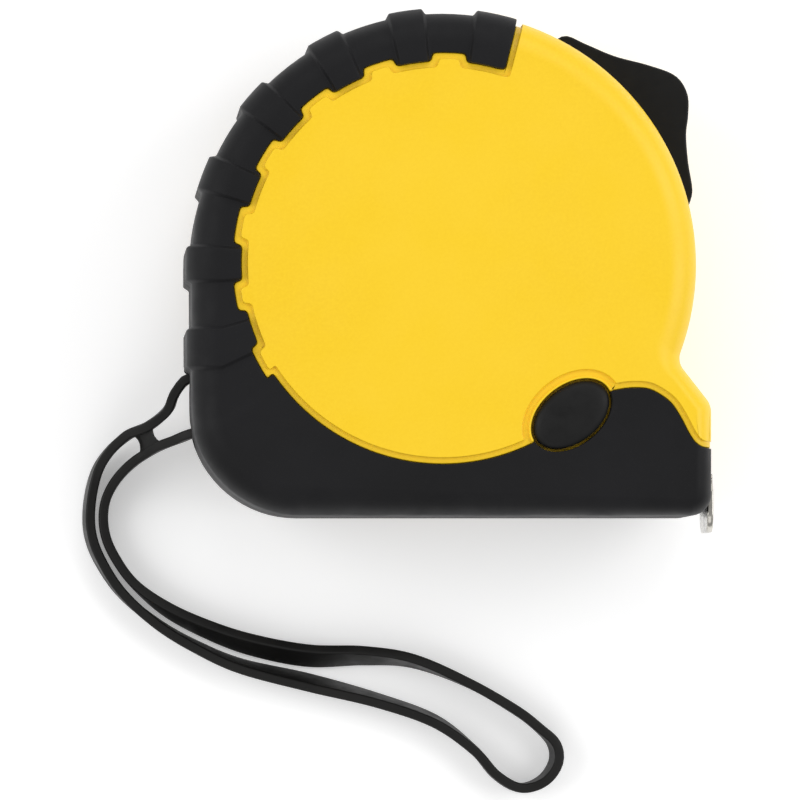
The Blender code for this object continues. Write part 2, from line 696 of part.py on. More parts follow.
def wrist_strap():
    """One moulded band that loops round its pin, joined into one tail by a short bridge."""
    route = smooth_line(STRAP_ROUTE, STRAP_SPACING, closed=True)
    count = len(route)
    bm = bmesh.new()
    loops = []
    for i, here in enumerate(route):
        ahead, behind = route[(i + 1) % count], route[i - 1]
        along = (Vector(ahead[:3]) - Vector(behind[:3])).normalized()
        side = Vector((-along.y, along.x, 0.0)).normalized()
        lean = math.radians(here[3])
        across = Matrix.Rotation(lean, 3, along) @ Vector((0, 0, 1))
        across = (across - along * across.dot(along)).normalized()
        side = across.cross(along).normalized()
        centre = Vector(here[:3])
        loop = []
        for s, w in ((-1, -1), (1, -1), (1, 1), (-1, 1)):
            loop.append(bm.verts.new(centre + side * (s * STRAP_T / 2) + across * (w * STRAP_WIDTH / 2)))
        loops.append(loop)
    for i in range(count):
        for k in range(4):
            a, b = loops[i], loops[(i + 1) % count]
            bm.faces.new((a[k], a[(k + 1) % 4], b[(k + 1) % 4], b[k]))
    body = new_object("strap", bm)
    centre, size, turn = BRIDGE
    half = Vector(size) / 2
    block = box("bridge", -half, half)
    block.data.transform(Matrix.Translation(centre) @ Matrix.Rotation(math.radians(turn), 4, "Z"))
    return join(body, block)


def build():
    clear_scene()
    case = frame("case_frame", (0, 0, 0))
    reel = frame("reel_axis", (0, 0, MID_Z))
    blade = frame("blade_slide", (BLADE_TIP_X, BLADE_Y, MID_Z))
    hook = frame("hook_slide", (RIVET_X, BLADE_Y, MID_Z))
    lock = frame("lock_axis", (0, 0, MID_Z))
    button = frame("button_slide", (*BUTTON, BUTTON_TOP_Z))
    place(shell(True), "front_shell", "yellow", case)
    place(shell(False), "rear_shell", "yellow", case)
    place(grip(True), "front_grip", "rubber", case)
    place(grip(False), "rear_grip", "rubber", case)
    for name, centre in SCREWS:
        made = screw(centre, HEAD_R, 1.5, SCREW_R, REAR_Z + 2.3, MID_Z + 8.5)
        place(made, "case_screw_" + name, "steel", case)
    place(belt_clip(), "belt_clip", "steel", case)
    clip_screw = screw((0, CLIP_SCREW_Y), 3.0, 1.5, 1.5, REAR_Z - 1.4, REAR_Z + 5.8)
    place(clip_screw, "clip_screw", "steel", case)
    place(spindle(), "spindle", "white_plastic", case)
    place(main_spring(), "main_spring", "spring_steel", case)
    place(hook_bumper(), "hook_bumper", "rubber", case)
    inner = WALL_INSET + 2 * GAP
    pin = cylinder("pin", PIN, PIN_R, REAR_Z + inner, FRONT_Z - inner, 16)
    place(pin, "strap_pin", "steel", case)
    place(wrist_strap(), "wrist_strap", "rubber", case)
    place(button_spring(), "button_spring", "spring_steel", case)
    place(reel_drum(), "reel_drum", "white_plastic", reel)
    place(reel_cover(), "reel_cover", "white_plastic", reel)
    place(blade_coil(), "blade_coil", "blade_paint", reel)
    place(blade_tongue(), "blade_tongue", "blade_paint", blade)
    place(rivet(1), "hook_rivet_front", "steel", blade)
    place(rivet(-1), "hook_rivet_rear", "steel", blade)
    place(end_hook(), "end_hook", "steel", hook)
    place(thumb_lock(), "thumb_lock", "black_plastic", lock)
    place(side_button(), "side_button", "black_plastic", button)
    place(brake_pad(), "brake_pad", "felt", button)


build()
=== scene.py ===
# %% [markdown]
# # A pocket tape measure, from its frame to its finish
#
# This lesson dresses a working model of a tape measure. The model already holds every sub-part at its
# real size, each on the body that it moves with. Here each part that shows gets its fine shape and its
# finish. It could all be drawn by hand in the editor, but a script says how every shape comes about.

# %% Load the working model
import math

import bmesh
import bpy
from mathutils import Matrix, Vector
from mathutils.kdtree import KDTree


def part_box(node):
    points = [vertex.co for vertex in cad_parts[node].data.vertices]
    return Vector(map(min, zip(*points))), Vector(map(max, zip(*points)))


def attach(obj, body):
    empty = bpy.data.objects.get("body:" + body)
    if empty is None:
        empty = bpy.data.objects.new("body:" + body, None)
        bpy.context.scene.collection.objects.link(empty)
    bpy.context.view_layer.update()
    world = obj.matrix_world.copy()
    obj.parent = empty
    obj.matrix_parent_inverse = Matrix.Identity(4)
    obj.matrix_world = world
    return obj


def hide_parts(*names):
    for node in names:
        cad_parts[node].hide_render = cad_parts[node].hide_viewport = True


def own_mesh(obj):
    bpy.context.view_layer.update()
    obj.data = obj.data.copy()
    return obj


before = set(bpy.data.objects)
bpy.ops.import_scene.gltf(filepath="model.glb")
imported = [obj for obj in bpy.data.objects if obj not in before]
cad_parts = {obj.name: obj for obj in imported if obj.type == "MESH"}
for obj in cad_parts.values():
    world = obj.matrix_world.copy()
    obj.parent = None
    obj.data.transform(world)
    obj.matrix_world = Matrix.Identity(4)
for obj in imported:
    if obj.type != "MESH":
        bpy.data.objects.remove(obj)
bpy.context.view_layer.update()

# %% [markdown]
# ## Sizes
#
# A maker works in millimetres, so the shapes are made in millimetres and shrunk to metres when they are
# finished. The case lies on its belt clip: its thickness is Z, the blade leaves along +X and the top of
# the case points to +Y. The reel turns about the Z axis, so round parts of the case have their centre
# there. Heights are read from the working model, so that the fine parts fit it.

# %% Read the sizes that the working model gives
MM = 0.001


def node_box(node):
    """A sub-part's lowest and highest corner, in millimetres."""
    low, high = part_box(node)
    return Vector(low) / MM, Vector(high) / MM


shell_high = node_box("front_shell")[1]
REAR_Z, FRONT_Z = node_box("rear_shell")[0].z, shell_high.z
MID_Z = (REAR_Z + FRONT_Z) / 2
BASE_Y = node_box("front_grip")[0].y
NOSE_X = shell_high.x
CASE_R = 36.0
RUBBER_R = 35.6
GAP = 0.3
print("case from", round(REAR_Z, 2), "to", round(FRONT_Z, 2), "radius", round(CASE_R, 2),
      "nose", round(NOSE_X, 2), "base", round(BASE_Y, 2))

# %% [markdown]
# ## Camera
#
# The tape measure lies on a table and the camera looks down on its face from well above, a little to the
# lower left, with a long lens. A long lens keeps the round case round. The camera's three directions are
# worked out from where it stands and what it looks at, and the top of the case stays up in the picture.

# %% Place the camera
CAMERA_AT = Vector((-54.0, -53.0, 1287.0)) * MM
LOOK_AT = Vector((-6.21, -19.34, 41.0)) * MM
LENS = 397.6
SENSOR = 36.0
SEEN_FROM, SEEN_TO = 0.1, 10.0

camera_data = bpy.data.cameras.new("studio_camera")
camera_data.lens = LENS
camera_data.sensor_width = SENSOR
camera_data.clip_start = SEEN_FROM
camera_data.clip_end = SEEN_TO
camera = bpy.data.objects.new("studio_camera", camera_data)
bpy.context.scene.collection.objects.link(camera)
forward = (LOOK_AT - CAMERA_AT).normalized()
right = forward.cross(Vector((0, 1, 0))).normalized()
up = right.cross(forward)
turn = Matrix((right, up, -forward)).transposed()
camera.matrix_world = Matrix.Translation(CAMERA_AT) @ turn.to_4x4()
bpy.context.scene.camera = camera
print("camera stands", round((LOOK_AT - CAMERA_AT).length, 3), "m away")

# %% [markdown]
# ## Light and floor
#
# A product is lit with large soft boxes so that plastic shows its form without hard spots. Small lamps
# would be quicker to set up, but they burn small bright dots into satin rubber. Two wide boxes stand left
# and right, one hangs beyond the top edge, a weaker one beyond the base, and an even pale room fills what
# they leave. The pale floor lies where the belt clip touches it.

# %% Light the room and lay the floor
FLOOR_SIDE = 6.0
ROOM_GLOW = 0.42
BOX_SIDE = 0.9
SOFT_BOXES = {
    "left_box": ((-0.9, 0.1, 0.8), 5.0),
    "right_box": ((0.9, 0.15, 0.8), 5.6),
    "top_box": ((0.1, 0.95, 0.9), 4.0),
    "low_box": ((-0.1, -1.0, 1.0), 2.2),
}


def soft_box(name, at, power):
    """A square soft box that faces the middle of the case."""
    data = bpy.data.lights.new(name, "AREA")
    data.shape = "SQUARE"
    data.size = BOX_SIDE
    data.energy = power
    box = bpy.data.objects.new(name, data)
    bpy.context.scene.collection.objects.link(box)
    aim = Vector((0, 0, MID_Z * MM)) - Vector(at)
    box.matrix_world = Matrix.Translation(at) @ aim.to_track_quat("-Z", "Y").to_matrix().to_4x4()
    return box


for box_name, (box_at, box_power) in SOFT_BOXES.items():
    soft_box(box_name, box_at, box_power)

room = bpy.data.worlds.new("pale_room")
room.use_nodes = True
room.node_tree.nodes["Background"].inputs["Color"].default_value = (1.0, 1.0, 1.0, 1.0)
room.node_tree.nodes["Background"].inputs["Strength"].default_value = ROOM_GLOW
bpy.context.scene.world = room
bpy.context.scene.view_settings.view_transform = "Standard"
print(len(SOFT_BOXES), "soft boxes and a pale room")

# %% [markdown]
# ## Finishes
#
# Each finish is a small graph of nodes round one shader. Every pattern reads the piece's own coordinates,
# turned into millimetres, so a grain keeps its real size and stays on its piece when that piece moves. A
# flat colour would be simpler, but real mouldings have a fine spark-eroded grain, slow changes of tone
# from the melt, and a sheen that varies with handling.

# %% A bench for mixing finishes
class Finish:
    """A material in the making, with short ways to add and join nodes."""

    def __init__(self, name, colour, roughness, metallic=0.0, **more):
        self.material = bpy.data.materials.new(name)
        self.material.use_nodes = True
        self.tree = self.material.node_tree
        self.shader = self.tree.nodes["Principled BSDF"]
        self.material.diffuse_color = (*colour, 1.0)
        self.set(self.shader, Base_Color=(*colour, 1.0), Roughness=roughness, Metallic=metallic, **more)
        coordinates = self.tree.nodes.new("ShaderNodeTexCoord")
        self.mm = self.tree.nodes.new("ShaderNodeMapping")
        self.set(self.mm, Scale=(1 / MM, 1 / MM, 1 / MM))
        self.join(coordinates.outputs["Object"], self.mm.inputs["Vector"])

    def set(self, node, **values):
        for key, value in values.items():
            node.inputs[key.replace("_", " ")].default_value = value
        return node

    def join(self, output, socket):
        self.tree.links.new(output, socket)

    def noise(self, per_mm, detail=3.0, roughness=0.55, stretch=None):
        """Noise with about this many grains in a millimetre."""
        made = self.tree.nodes.new("ShaderNodeTexNoise")
        self.set(made, Scale=per_mm, Detail=detail, Roughness=roughness)
        if stretch:
            shape = self.tree.nodes.new("ShaderNodeMapping")
            self.set(shape, Scale=stretch)
            self.join(self.mm.outputs["Vector"], shape.inputs["Vector"])
            self.join(shape.outputs["Vector"], made.inputs["Vector"])
        else:
            self.join(self.mm.outputs["Vector"], made.inputs["Vector"])
        return made.outputs["Fac"]

    def span(self, source, low, high, to_low=0.0, to_high=1.0):
        """Stretches a value from one range to another."""
        made = self.tree.nodes.new("ShaderNodeMapRange")
        self.set(made, From_Min=low, From_Max=high, To_Min=to_low, To_Max=to_high)
        self.join(source, made.inputs["Value"])
        return made.outputs["Result"]

    def sum(self, operation, first, second):
        """One step of arithmetic on values or numbers."""
        made = self.tree.nodes.new("ShaderNodeMath")
        made.operation = operation
        for socket, value in zip(made.inputs, (first, second)):
            if isinstance(value, (int, float)):
                socket.default_value = value
            else:
                self.join(value, socket)
        return made.outputs["Value"]

    def blend(self, share, first, second):
        """A colour between two, by a share from 0 to 1. Each is a colour or a node's output."""
        made = self.tree.nodes.new("ShaderNodeMix")
        made.data_type = "RGBA"
        self.join(share, made.inputs["Factor"])
        for socket, value in ((made.inputs["A"], first), (made.inputs["B"], second)):
            if isinstance(value, tuple):
                socket.default_value = (*value, 1.0)
            else:
                self.join(value, socket)
        return made.outputs["Result"]

    def grain(self, height, depth_mm):
        """Raises the surface by a height, which is 0 to 1, times a depth."""
        made = self.tree.nodes.new("ShaderNodeBump")
        self.set(made, Strength=1.0, Distance=depth_mm * MM)
        self.join(height, made.inputs["Height"])
        self.join(made.outputs["Normal"], self.shader.inputs["Normal"])

    def colour_from(self, output):
        self.join(output, self.shader.inputs["Base Color"])

    def roughness_from(self, output):
        self.join(output, self.shader.inputs["Roughness"])


# %% [markdown]
# ### Moulded plastics and rubbers
#
# Every moulding has the same four things, in different amounts: a tone that drifts slowly as the melt
# flowed, flecks of a paler tone from grain or dust, a gloss that varies with handling, and the fine grain
# of the mould. One recipe mixes them all.

# %% A recipe for mouldings
MIDDLE = (0.35, 0.65)
WIDER = (0.3, 0.7)
WHOLE = (0.0, 1.0)
FINISHES = {}


def moulded(name, colour, roughness, drift, tones, gloss, grain, fleck=None, reach=MIDDLE, **more):
    """Fleck, gloss and grain start with how their noise is made. Grain ends with its depth in mm."""
    finish = Finish(name, colour, roughness, **more)
    tone = finish.blend(finish.span(finish.noise(*drift), *reach), *tones)
    if fleck:
        made, share, fleck_colour = fleck
        tone = finish.blend(finish.span(finish.noise(**made), *share), tone, fleck_colour)
    finish.colour_from(tone)
    finish.roughness_from(finish.span(finish.noise(*gloss[0]), *WIDER, *gloss[1]))
    finish.grain(finish.noise(*grain[0]), grain[1])
    FINISHES[name] = finish.material


# %% [markdown]
# ### Yellow case plastic
#
# The two case halves are moulded in a tough plastic, with the colour in the melt. The mould was
# spark-eroded, which leaves a fine even grain that turns gloss into satin. The tone drifts slowly over
# the face, and the grain is a little glossier where hands have rubbed it.

# %% Mix the case plastic
moulded("case_plastic", (0.94, 0.61, 0.007), 0.42,
        drift=(0.035, 2.0), tones=((0.95, 0.615, 0.006), (0.925, 0.59, 0.005)),
        fleck=(dict(per_mm=2.2, detail=2.0), (0.3, 0.75), (0.965, 0.635, 0.009)),
        gloss=((0.12, 3.0), (0.38, 0.5)), grain=((4.5, 3.0, 0.6), 0.012))

# %% [markdown]
# ### Black grip rubber
#
# The grip is a soft rubber moulded over the case. It is not quite black: light catches its matte skin and
# turns it charcoal, with a bluish sheen on the ribs. A fine grain breaks up the sheen, and a little dust
# stays in it.

# %% Mix the grip rubber
moulded("grip_rubber", (0.006, 0.006, 0.007), 0.58,
        drift=(0.06, 3.0), tones=((0.0048, 0.0048, 0.0056), (0.0068, 0.0068, 0.0080)),
        fleck=(dict(per_mm=3.5, detail=2.0), (0.62, 0.8, 0.0, 0.35), (0.018, 0.0175, 0.017)),
        gloss=((0.2, 3.0), (0.5, 0.66)), grain=((5.0, 3.0, 0.6), 0.010),
        Specular_IOR_Level=0.2, Sheen_Weight=0.03, Sheen_Roughness=0.5)

# %% [markdown]
# ### Black strap rubber
#
# The wrist strap is a thin band from another mould, with a slightly coarser grain and uneven gloss. Its
# faces are a shade browner than the grip.

# %% Mix the strap rubber
moulded("strap_rubber", (0.008, 0.0078, 0.0074), 0.5,
        drift=(0.09, 3.0), tones=((0.0062, 0.0060, 0.0057), (0.0095, 0.0090, 0.0083)),
        fleck=(dict(per_mm=2.6, detail=2.0), (0.66, 0.8, 0.0, 0.3), (0.045, 0.043, 0.040)),
        gloss=((0.3, 3.0), (0.42, 0.6)), grain=((3.0, 4.0, 0.6), 0.012), Specular_IOR_Level=0.26)

# %% [markdown]
# ### Black button, black lock and pale inner plastic
#
# The side button is a firm rubber cap, softer to the eye than the grip. The lock is a hard slippery
# plastic, so it has the sharper sheen of the two, with fine scratches where a thumb pushes it. The reel
# and the spindle are pale acetal, waxy and smooth.

# %% Mix the button cap, the lock and the inner plastic
moulded("button_rubber", (0.007, 0.007, 0.007), 0.48,
        drift=(0.25, 3.0), tones=((0.0055, 0.0055, 0.0055), (0.0085, 0.0085, 0.0085)),
        gloss=((0.5, 3.0), (0.42, 0.56)), grain=((6.0, 3.0, 0.6), 0.008), Specular_IOR_Level=0.2)
moulded("lock_plastic", (0.006, 0.006, 0.006), 0.42,
        drift=(0.1, 3.0), tones=((0.0045, 0.0045, 0.0045), (0.0065, 0.0065, 0.0065)),
        fleck=(dict(per_mm=1.4, detail=4.0, stretch=(0.25, 1.0, 1.0)), (0.62, 0.75, 0.0, 0.5),
               (0.015, 0.015, 0.015)),
        gloss=((0.6, 4.0), (0.34, 0.5)), grain=((5.0, 3.0, 0.6), 0.006), Specular_IOR_Level=0.2)
moulded("inner_plastic", (0.72, 0.70, 0.65), 0.46,
        drift=(0.15, 3.0), reach=WHOLE, tones=((0.70, 0.68, 0.63), (0.75, 0.73, 0.69)),
        gloss=((0.8, 3.0), (0.4, 0.54)), grain=((3.0, 3.0), 0.006), Subsurface_Weight=0.05)

# %% [markdown]
# ### Metals
#
# The hook is pressed from steel and nickel plated: bright, with soft waves from the press. The belt clip
# is spring steel, plated and brushed along its length. The screws are zinc plated, with a fine frost. The
# springs are blued steel. One recipe serves them all: a metal, slow waves in its tone, and a grain that
# may be drawn out along one direction, as brushing does.

# %% Mix the metals
METALS = {
    "hook_nickel": ((0.62, 0.60, 0.55), (0.36, 0.34, 0.31), (0.12, 0.26), 2.0, (1, 1, 0.3), 0.006),
    "clip_steel": ((0.62, 0.62, 0.62), (0.48, 0.48, 0.49), (0.24, 0.4), 5.0, (1, 0.06, 1), 0.008),
    "screw_steel": ((0.6, 0.6, 0.58), (0.42, 0.42, 0.42), (0.26, 0.44), 3.0, (1, 1, 1), 0.008),
    "spring_steel": ((0.24, 0.26, 0.32), (0.13, 0.14, 0.17), (0.24, 0.42), 4.0, (1, 1, 0.1), 0.006),
}


def metal(name, bright, dull, roughness, per_mm, stretch, depth_mm):
    middle = tuple((a + b) / 2 for a, b in zip(bright, dull))
    finish = Finish(name, middle, sum(roughness) / 2, 1.0)
    finish.colour_from(finish.blend(finish.span(finish.noise(0.3, 3.0), *MIDDLE), bright, dull))
    brushing = finish.noise(per_mm, 3.0, 0.6, stretch)
    finish.roughness_from(finish.span(brushing, *WIDER, *roughness))
    finish.grain(brushing, depth_mm)
    FINISHES[name] = finish.material


for metal_name, recipe in METALS.items():
    metal(metal_name, *recipe)


# %% [markdown]
# ### Painted blade
#
# The blade is spring steel, painted yellow with a satin lacquer and printed in black. Millimetre marks
# grow from both edges, longer at every fifth and every tenth. The marks could be thin pieces of mesh, but
# hundreds of them are only print, so the finish draws them from the distance to the hook.

# %% Mix the blade's paint and print
HOOK_T = 0.9
HOOK_FACE_X = node_box("end_hook")[1].x - HOOK_T
BLADE_HALF = 9.5
MARK_WIDTH = 0.16
MARK_LENGTHS = ((1.0, 2.6), (5.0, 3.8), (10.0, 5.6))


def blade_paint():
    paint, ink = (0.86, 0.62, 0.05), (0.012, 0.012, 0.012)
    finish = Finish("blade_paint", paint, 0.34, Coat_Weight=0.3, Coat_Roughness=0.2)
    split = finish.tree.nodes.new("ShaderNodeSeparateXYZ")
    finish.join(finish.mm.outputs["Vector"], split.inputs["Vector"])
    from_hook = finish.sum("SUBTRACT", HOOK_FACE_X, split.outputs["X"])
    from_middle = finish.sum("ABSOLUTE", finish.sum("SUBTRACT", split.outputs["Z"], MID_Z), 0.0)
    from_edge = finish.sum("SUBTRACT", BLADE_HALF, from_middle)
    printed = None
    for every, length in MARK_LENGTHS:
        past_mark = finish.sum("MODULO", finish.sum("ADD", from_hook, every / 2), every)
        beside = finish.sum("ABSOLUTE", finish.sum("SUBTRACT", past_mark, every / 2), 0.0)
        on_line = finish.sum("LESS_THAN", beside, MARK_WIDTH / 2)
        mark = finish.sum("MULTIPLY", on_line, finish.sum("LESS_THAN", from_edge, length))
        printed = mark if printed is None else finish.sum("MAXIMUM", printed, mark)
    tone = finish.blend(finish.span(finish.noise(0.2, 3.0), *MIDDLE), paint, (0.82, 0.585, 0.045))
    finish.colour_from(finish.blend(printed, tone, ink))
    finish.roughness_from(finish.span(finish.noise(0.8, 3.0), *WIDER, 0.28, 0.42))
    finish.grain(finish.noise(4.0, 2.0), 0.004)
    FINISHES["blade_paint"] = finish.material


blade_paint()

# %% [markdown]
# ### Felt and the floor
#
# The brake pad is pressed felt, with fibres in every direction. The floor is a matte pale board with a
# faint glow of its own, like the light tables that catalogue pictures are taken on, so that only a soft
# trace of a shadow shows.

# %% Mix the felt and the floor board
BOARD_GLOW = 0.3


def pad_felt():
    finish = Finish("pad_felt", (0.14, 0.13, 0.12), 0.95, Sheen_Weight=0.4)
    fibres = finish.noise(4.0, 6.0, 0.7, (1, 0.3, 1))
    finish.colour_from(finish.blend(fibres, (0.09, 0.085, 0.08), (0.2, 0.19, 0.18)))
    finish.grain(fibres, 0.12)
    FINISHES["pad_felt"] = finish.material


def floor_board():
    finish = Finish("floor_board", (0.93, 0.93, 0.93), 0.8, Specular_IOR_Level=0.2,
                    Emission_Color=(1.0, 1.0, 1.0, 1.0), Emission_Strength=BOARD_GLOW)
    finish.colour_from(finish.blend(finish.noise(0.02, 3.0), (0.925, 0.925, 0.925), (0.94, 0.94, 0.94)))
    return finish.material


pad_felt()
print("finishes:", ", ".join(FINISHES))

# %% Lay the floor
floor_mesh = bpy.data.meshes.new("floor")
floor_bm = bmesh.new()
bmesh.ops.create_grid(floor_bm, x_segments=4, y_segments=4, size=FLOOR_SIDE / 2)
floor_bm.to_mesh(floor_mesh)
floor_bm.free()
floor_mesh.materials.append(floor_board())
floor = bpy.data.objects.new("floor", floor_mesh)
bpy.context.scene.collection.objects.link(floor)
print("floor", FLOOR_SIDE, "m wide")

# %% [markdown]
# ## Lines to build from
#
# Moulded parts start as outlines. Three small helpers draw them: a point at an angle, an arc, and a smooth
# line through a few points. A smooth line is the same idea as a bent spline on a draughtsman's board.

# %% Draw points, arcs and smooth lines
CURVE_STEPS = 16
CORNER_REACH = 0.45
CORNER_STEPS = (0.0, 0.25, 0.5, 0.75, 1.0)


def polar(angle, radius, centre=(0.0, 0.0)):
    turned = math.radians(angle)
    return (centre[0] + radius * math.cos(turned), centre[1] + radius * math.sin(turned))


def arc(centre, radius, start, end, step=2.0):
    """Points along an arc, both ends included."""
    count = max(1, round(abs(end - start) / step))
    return [polar(start + (end - start) * i / count, radius, centre) for i in range(count + 1)]


def smooth_line(points, spacing, closed=False):
    """Evenly spaced points on a smooth curve through the points, of any dimension."""
    pts = [Vector(p) for p in points]
    count = len(pts)
    dense = []
    for i in range(count if closed else count - 1):
        if closed:
            a, b, c, d = (pts[k % count] for k in (i - 1, i, i + 1, i + 2))
        else:
            a, b, c, d = (pts[min(max(k, 0), count - 1)] for k in (i - 1, i, i + 1, i + 2))
        for k in range(CURVE_STEPS):
            t = k / CURVE_STEPS
            dense.append(0.5 * (2 * b + (c - a) * t + (2 * a - 5 * b + 4 * c - d) * t * t
                                + (3 * b - a - 3 * c + d) * t ** 3))
    dense.append(pts[0] if closed else pts[-1])
    along = [0.0]
    for a, b in zip(dense, dense[1:]):
        along.append(along[-1] + (b - a).length)
    total = max(1, round(along[-1] / spacing))
    spaced, k = [], 0
    for i in range(total if closed else total + 1):
        want = along[-1] * i / total
        while k < len(dense) - 2 and along[k + 1] < want:
            k += 1
        part = (want - along[k]) / max(along[k + 1] - along[k], 1e-9)
        spaced.append(dense[k].lerp(dense[k + 1], min(part, 1.0)))
    return spaced


def moved(line, distance):
    """The line moved sideways, to its left where distance is positive."""
    pts = [Vector(p) for p in line]
    out = []
    for i, p in enumerate(pts):
        along = (pts[min(i + 1, len(pts) - 1)] - pts[max(i - 1, 0)]).normalized()
        out.append(tuple(p + Vector((-along.y, along.x)) * distance))
    return out


def rounded(line, radius, sharp=25.0):
    """Cuts the corners of a line off with small curves."""
    pts = [Vector(p) for p in line]
    out = [pts[0]]
    for before, here, after in zip(pts, pts[1:], pts[2:]):
        back, ahead = before - here, after - here
        if math.degrees(back.angle(-ahead)) < sharp:
            out.append(here)
            continue
        reach = min(radius, CORNER_REACH * back.length, CORNER_REACH * ahead.length)
        start, end = here + back.normalized() * reach, here + ahead.normalized() * reach
        for t in CORNER_STEPS:
            out.append(start * (1 - t) ** 2 + here * 2 * t * (1 - t) + end * t * t)
    out.append(pts[-1])
    return [tuple(p) for p in out]


# %% [markdown]
# ## Bodies from rings
#
# Nearly every moulding here is a stack of closed outlines, one above the other. A ring of edges is drawn
# for each, neighbouring rings are bridged, and the two ends are capped. An extrude would do for straight
# walls, but rings also carry the rounded edges, because each ring can be drawn further in.

# %% Bridge rings into a closed body
def ring_edges(bm, points):
    verts = [bm.verts.new(p) for p in points]
    return [bm.edges.new(pair) for pair in zip(verts, verts[1:] + verts[:1])]


def make_piece(name, bm):
    """Turns a finished bmesh into an object in the scene."""
    mesh = bpy.data.meshes.new(name)
    bm.to_mesh(mesh)
    bm.free()
    piece = bpy.data.objects.new(name, mesh)
    bpy.context.scene.collection.objects.link(piece)
    return piece


def stack(name, rings):
    """A closed body through rings with as many points each."""
    bm = bmesh.new()
    loops = [ring_edges(bm, ring) for ring in rings]
    for low, high in zip(loops, loops[1:]):
        bmesh.ops.bridge_loops(bm, edges=low + high)
    for end in (loops[0], loops[-1]):
        bmesh.ops.contextual_create(bm, geom=end)
    bmesh.ops.recalc_face_normals(bm, faces=bm.faces)
    return make_piece(name, bm)


def slab(name, outline, low, high):
    """An outline given thickness between two heights."""
    bm = bmesh.new()
    bottom = bmesh.ops.contextual_create(bm, geom=ring_edges(bm, [(x, y, low) for x, y in outline]))
    top = bmesh.ops.extrude_face_region(bm, geom=bottom["faces"])
    risen = [part for part in top["geom"] if isinstance(part, bmesh.types.BMVert)]
    bmesh.ops.translate(bm, verts=risen, vec=(0, 0, high - low))
    bmesh.ops.recalc_face_normals(bm, faces=bm.faces)
    return make_piece(name, bm)


def block(name, low, high):
    """A square-cornered cutter between two corners."""
    bm = bmesh.new()
    size = Vector(high) - Vector(low)
    middle = (Vector(high) + Vector(low)) / 2
    place = Matrix.Translation(middle) @ Matrix.Diagonal((*size, 1.0))
    bmesh.ops.create_cube(bm, size=1.0, matrix=place)
    return make_piece(name, bm)


def rod(name, centre, radius, low, high, sides=48):
    """A round bar between two heights."""
    bm = bmesh.new()
    place = Matrix.Translation((centre[0], centre[1], (low + high) / 2))
    bmesh.ops.create_cone(bm, cap_ends=True, segments=sides, radius1=radius, radius2=radius,
                          depth=high - low, matrix=place)
    return make_piece(name, bm)


# %% [markdown]
# ## Cutting, joining and softening
#
# Mouldings are joined and cut with Booleans, as a pattern maker glues and cuts wood. Afterwards points
# that fell together are merged, and a bevel rounds every hard edge, because a mould never leaves a
# perfectly sharp one. A light would show no line on a sharp edge.

# %% Cut, join and soften
MERGE = 0.03
CLEAN = 0.001
STRAY = 1.6


def applied(piece):
    """Replaces the piece's mesh by what its modifiers make of it."""
    graph = bpy.context.evaluated_depsgraph_get()
    made = bpy.data.meshes.new_from_object(piece.evaluated_get(graph))
    piece.modifiers.clear()
    piece.data = made
    return piece


def combine(piece, others, operation):
    for other in others:
        step = piece.modifiers.new("step", "BOOLEAN")
        step.operation = operation
        step.solver = "EXACT"
        step.object = other
        applied(piece)
        bpy.data.objects.remove(other)
    return piece


def cut(piece, *others):
    return combine(piece, others, "DIFFERENCE")


def join(piece, *others):
    return combine(piece, others, "UNION")


def keep(piece, *others):
    return combine(piece, others, "INTERSECT")


def gathered(first, *others):
    """Several bodies that don't touch, as one object."""
    bm = bmesh.new()
    for body in (first, *others):
        bm.from_mesh(body.data)
    bm.to_mesh(first.data)
    bm.free()
    for body in others:
        bpy.data.objects.remove(body)
    return first


def bevel_reach(bm, width, angle):
    """Every place that the bevel may work from: all points, and steps along the hard edges."""
    places = [vert.co.copy() for vert in bm.verts]
    for edge in bm.edges:
        if len(edge.link_faces) == 2 and edge.calc_face_angle() > math.radians(angle):
            start, end = (vert.co for vert in edge.verts)
            steps = int(edge.calc_length() / width)
            places += [start.lerp(end, (i + 1) / (steps + 1)) for i in range(steps)]
    tree = KDTree(len(places))
    for i, at in enumerate(places):
        tree.insert(at, i)
    tree.balance()
    return tree


def soften(piece, width, segments=3, angle=40.0):
    """Merges what the cuts left behind, rounds the hard edges and brings back points thrown too far."""
    bm = bmesh.new()
    bm.from_mesh(piece.data)
    bmesh.ops.remove_doubles(bm, verts=bm.verts, dist=MERGE)
    bmesh.ops.dissolve_degenerate(bm, edges=bm.edges, dist=MERGE)
    reach = bevel_reach(bm, width, angle)
    bm.to_mesh(piece.data)
    bm.free()
    step = piece.modifiers.new("edge", "BEVEL")
    step.width = width
    step.segments = segments
    step.limit_method = "ANGLE"
    step.angle_limit = math.radians(angle)
    step.use_clamp_overlap = False
    applied(piece)
    for vert in piece.data.vertices:
        near, _, distance = reach.find(vert.co)
        if distance > STRAY * width:
            vert.co = near
    return piece


def finished(piece, name, finish, body, nodes=(), sharp=38.0):
    """Shrinks a piece to metres, gives it its finish and sets it on its body."""
    bm = bmesh.new()
    bm.from_mesh(piece.data)
    bmesh.ops.remove_doubles(bm, verts=bm.verts, dist=CLEAN)
    bmesh.ops.dissolve_degenerate(bm, edges=bm.edges, dist=CLEAN)
    bmesh.ops.scale(bm, verts=bm.verts, vec=(MM, MM, MM))
    bm.to_mesh(piece.data)
    bm.free()
    piece.name = name
    piece.data.name = name
    piece.data.materials.clear()
    piece.data.materials.append(FINISHES[finish])
    piece.data.shade_smooth()
    piece.data.set_sharp_from_angle(angle=math.radians(sharp))
    weighted = piece.modifiers.new("smooth_light", "WEIGHTED_NORMAL")
    weighted.keep_sharp = True
    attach(piece, body)
    if nodes:
        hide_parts(*nodes)
    print(name, len(piece.data.polygons), "faces on", body)
    return piece

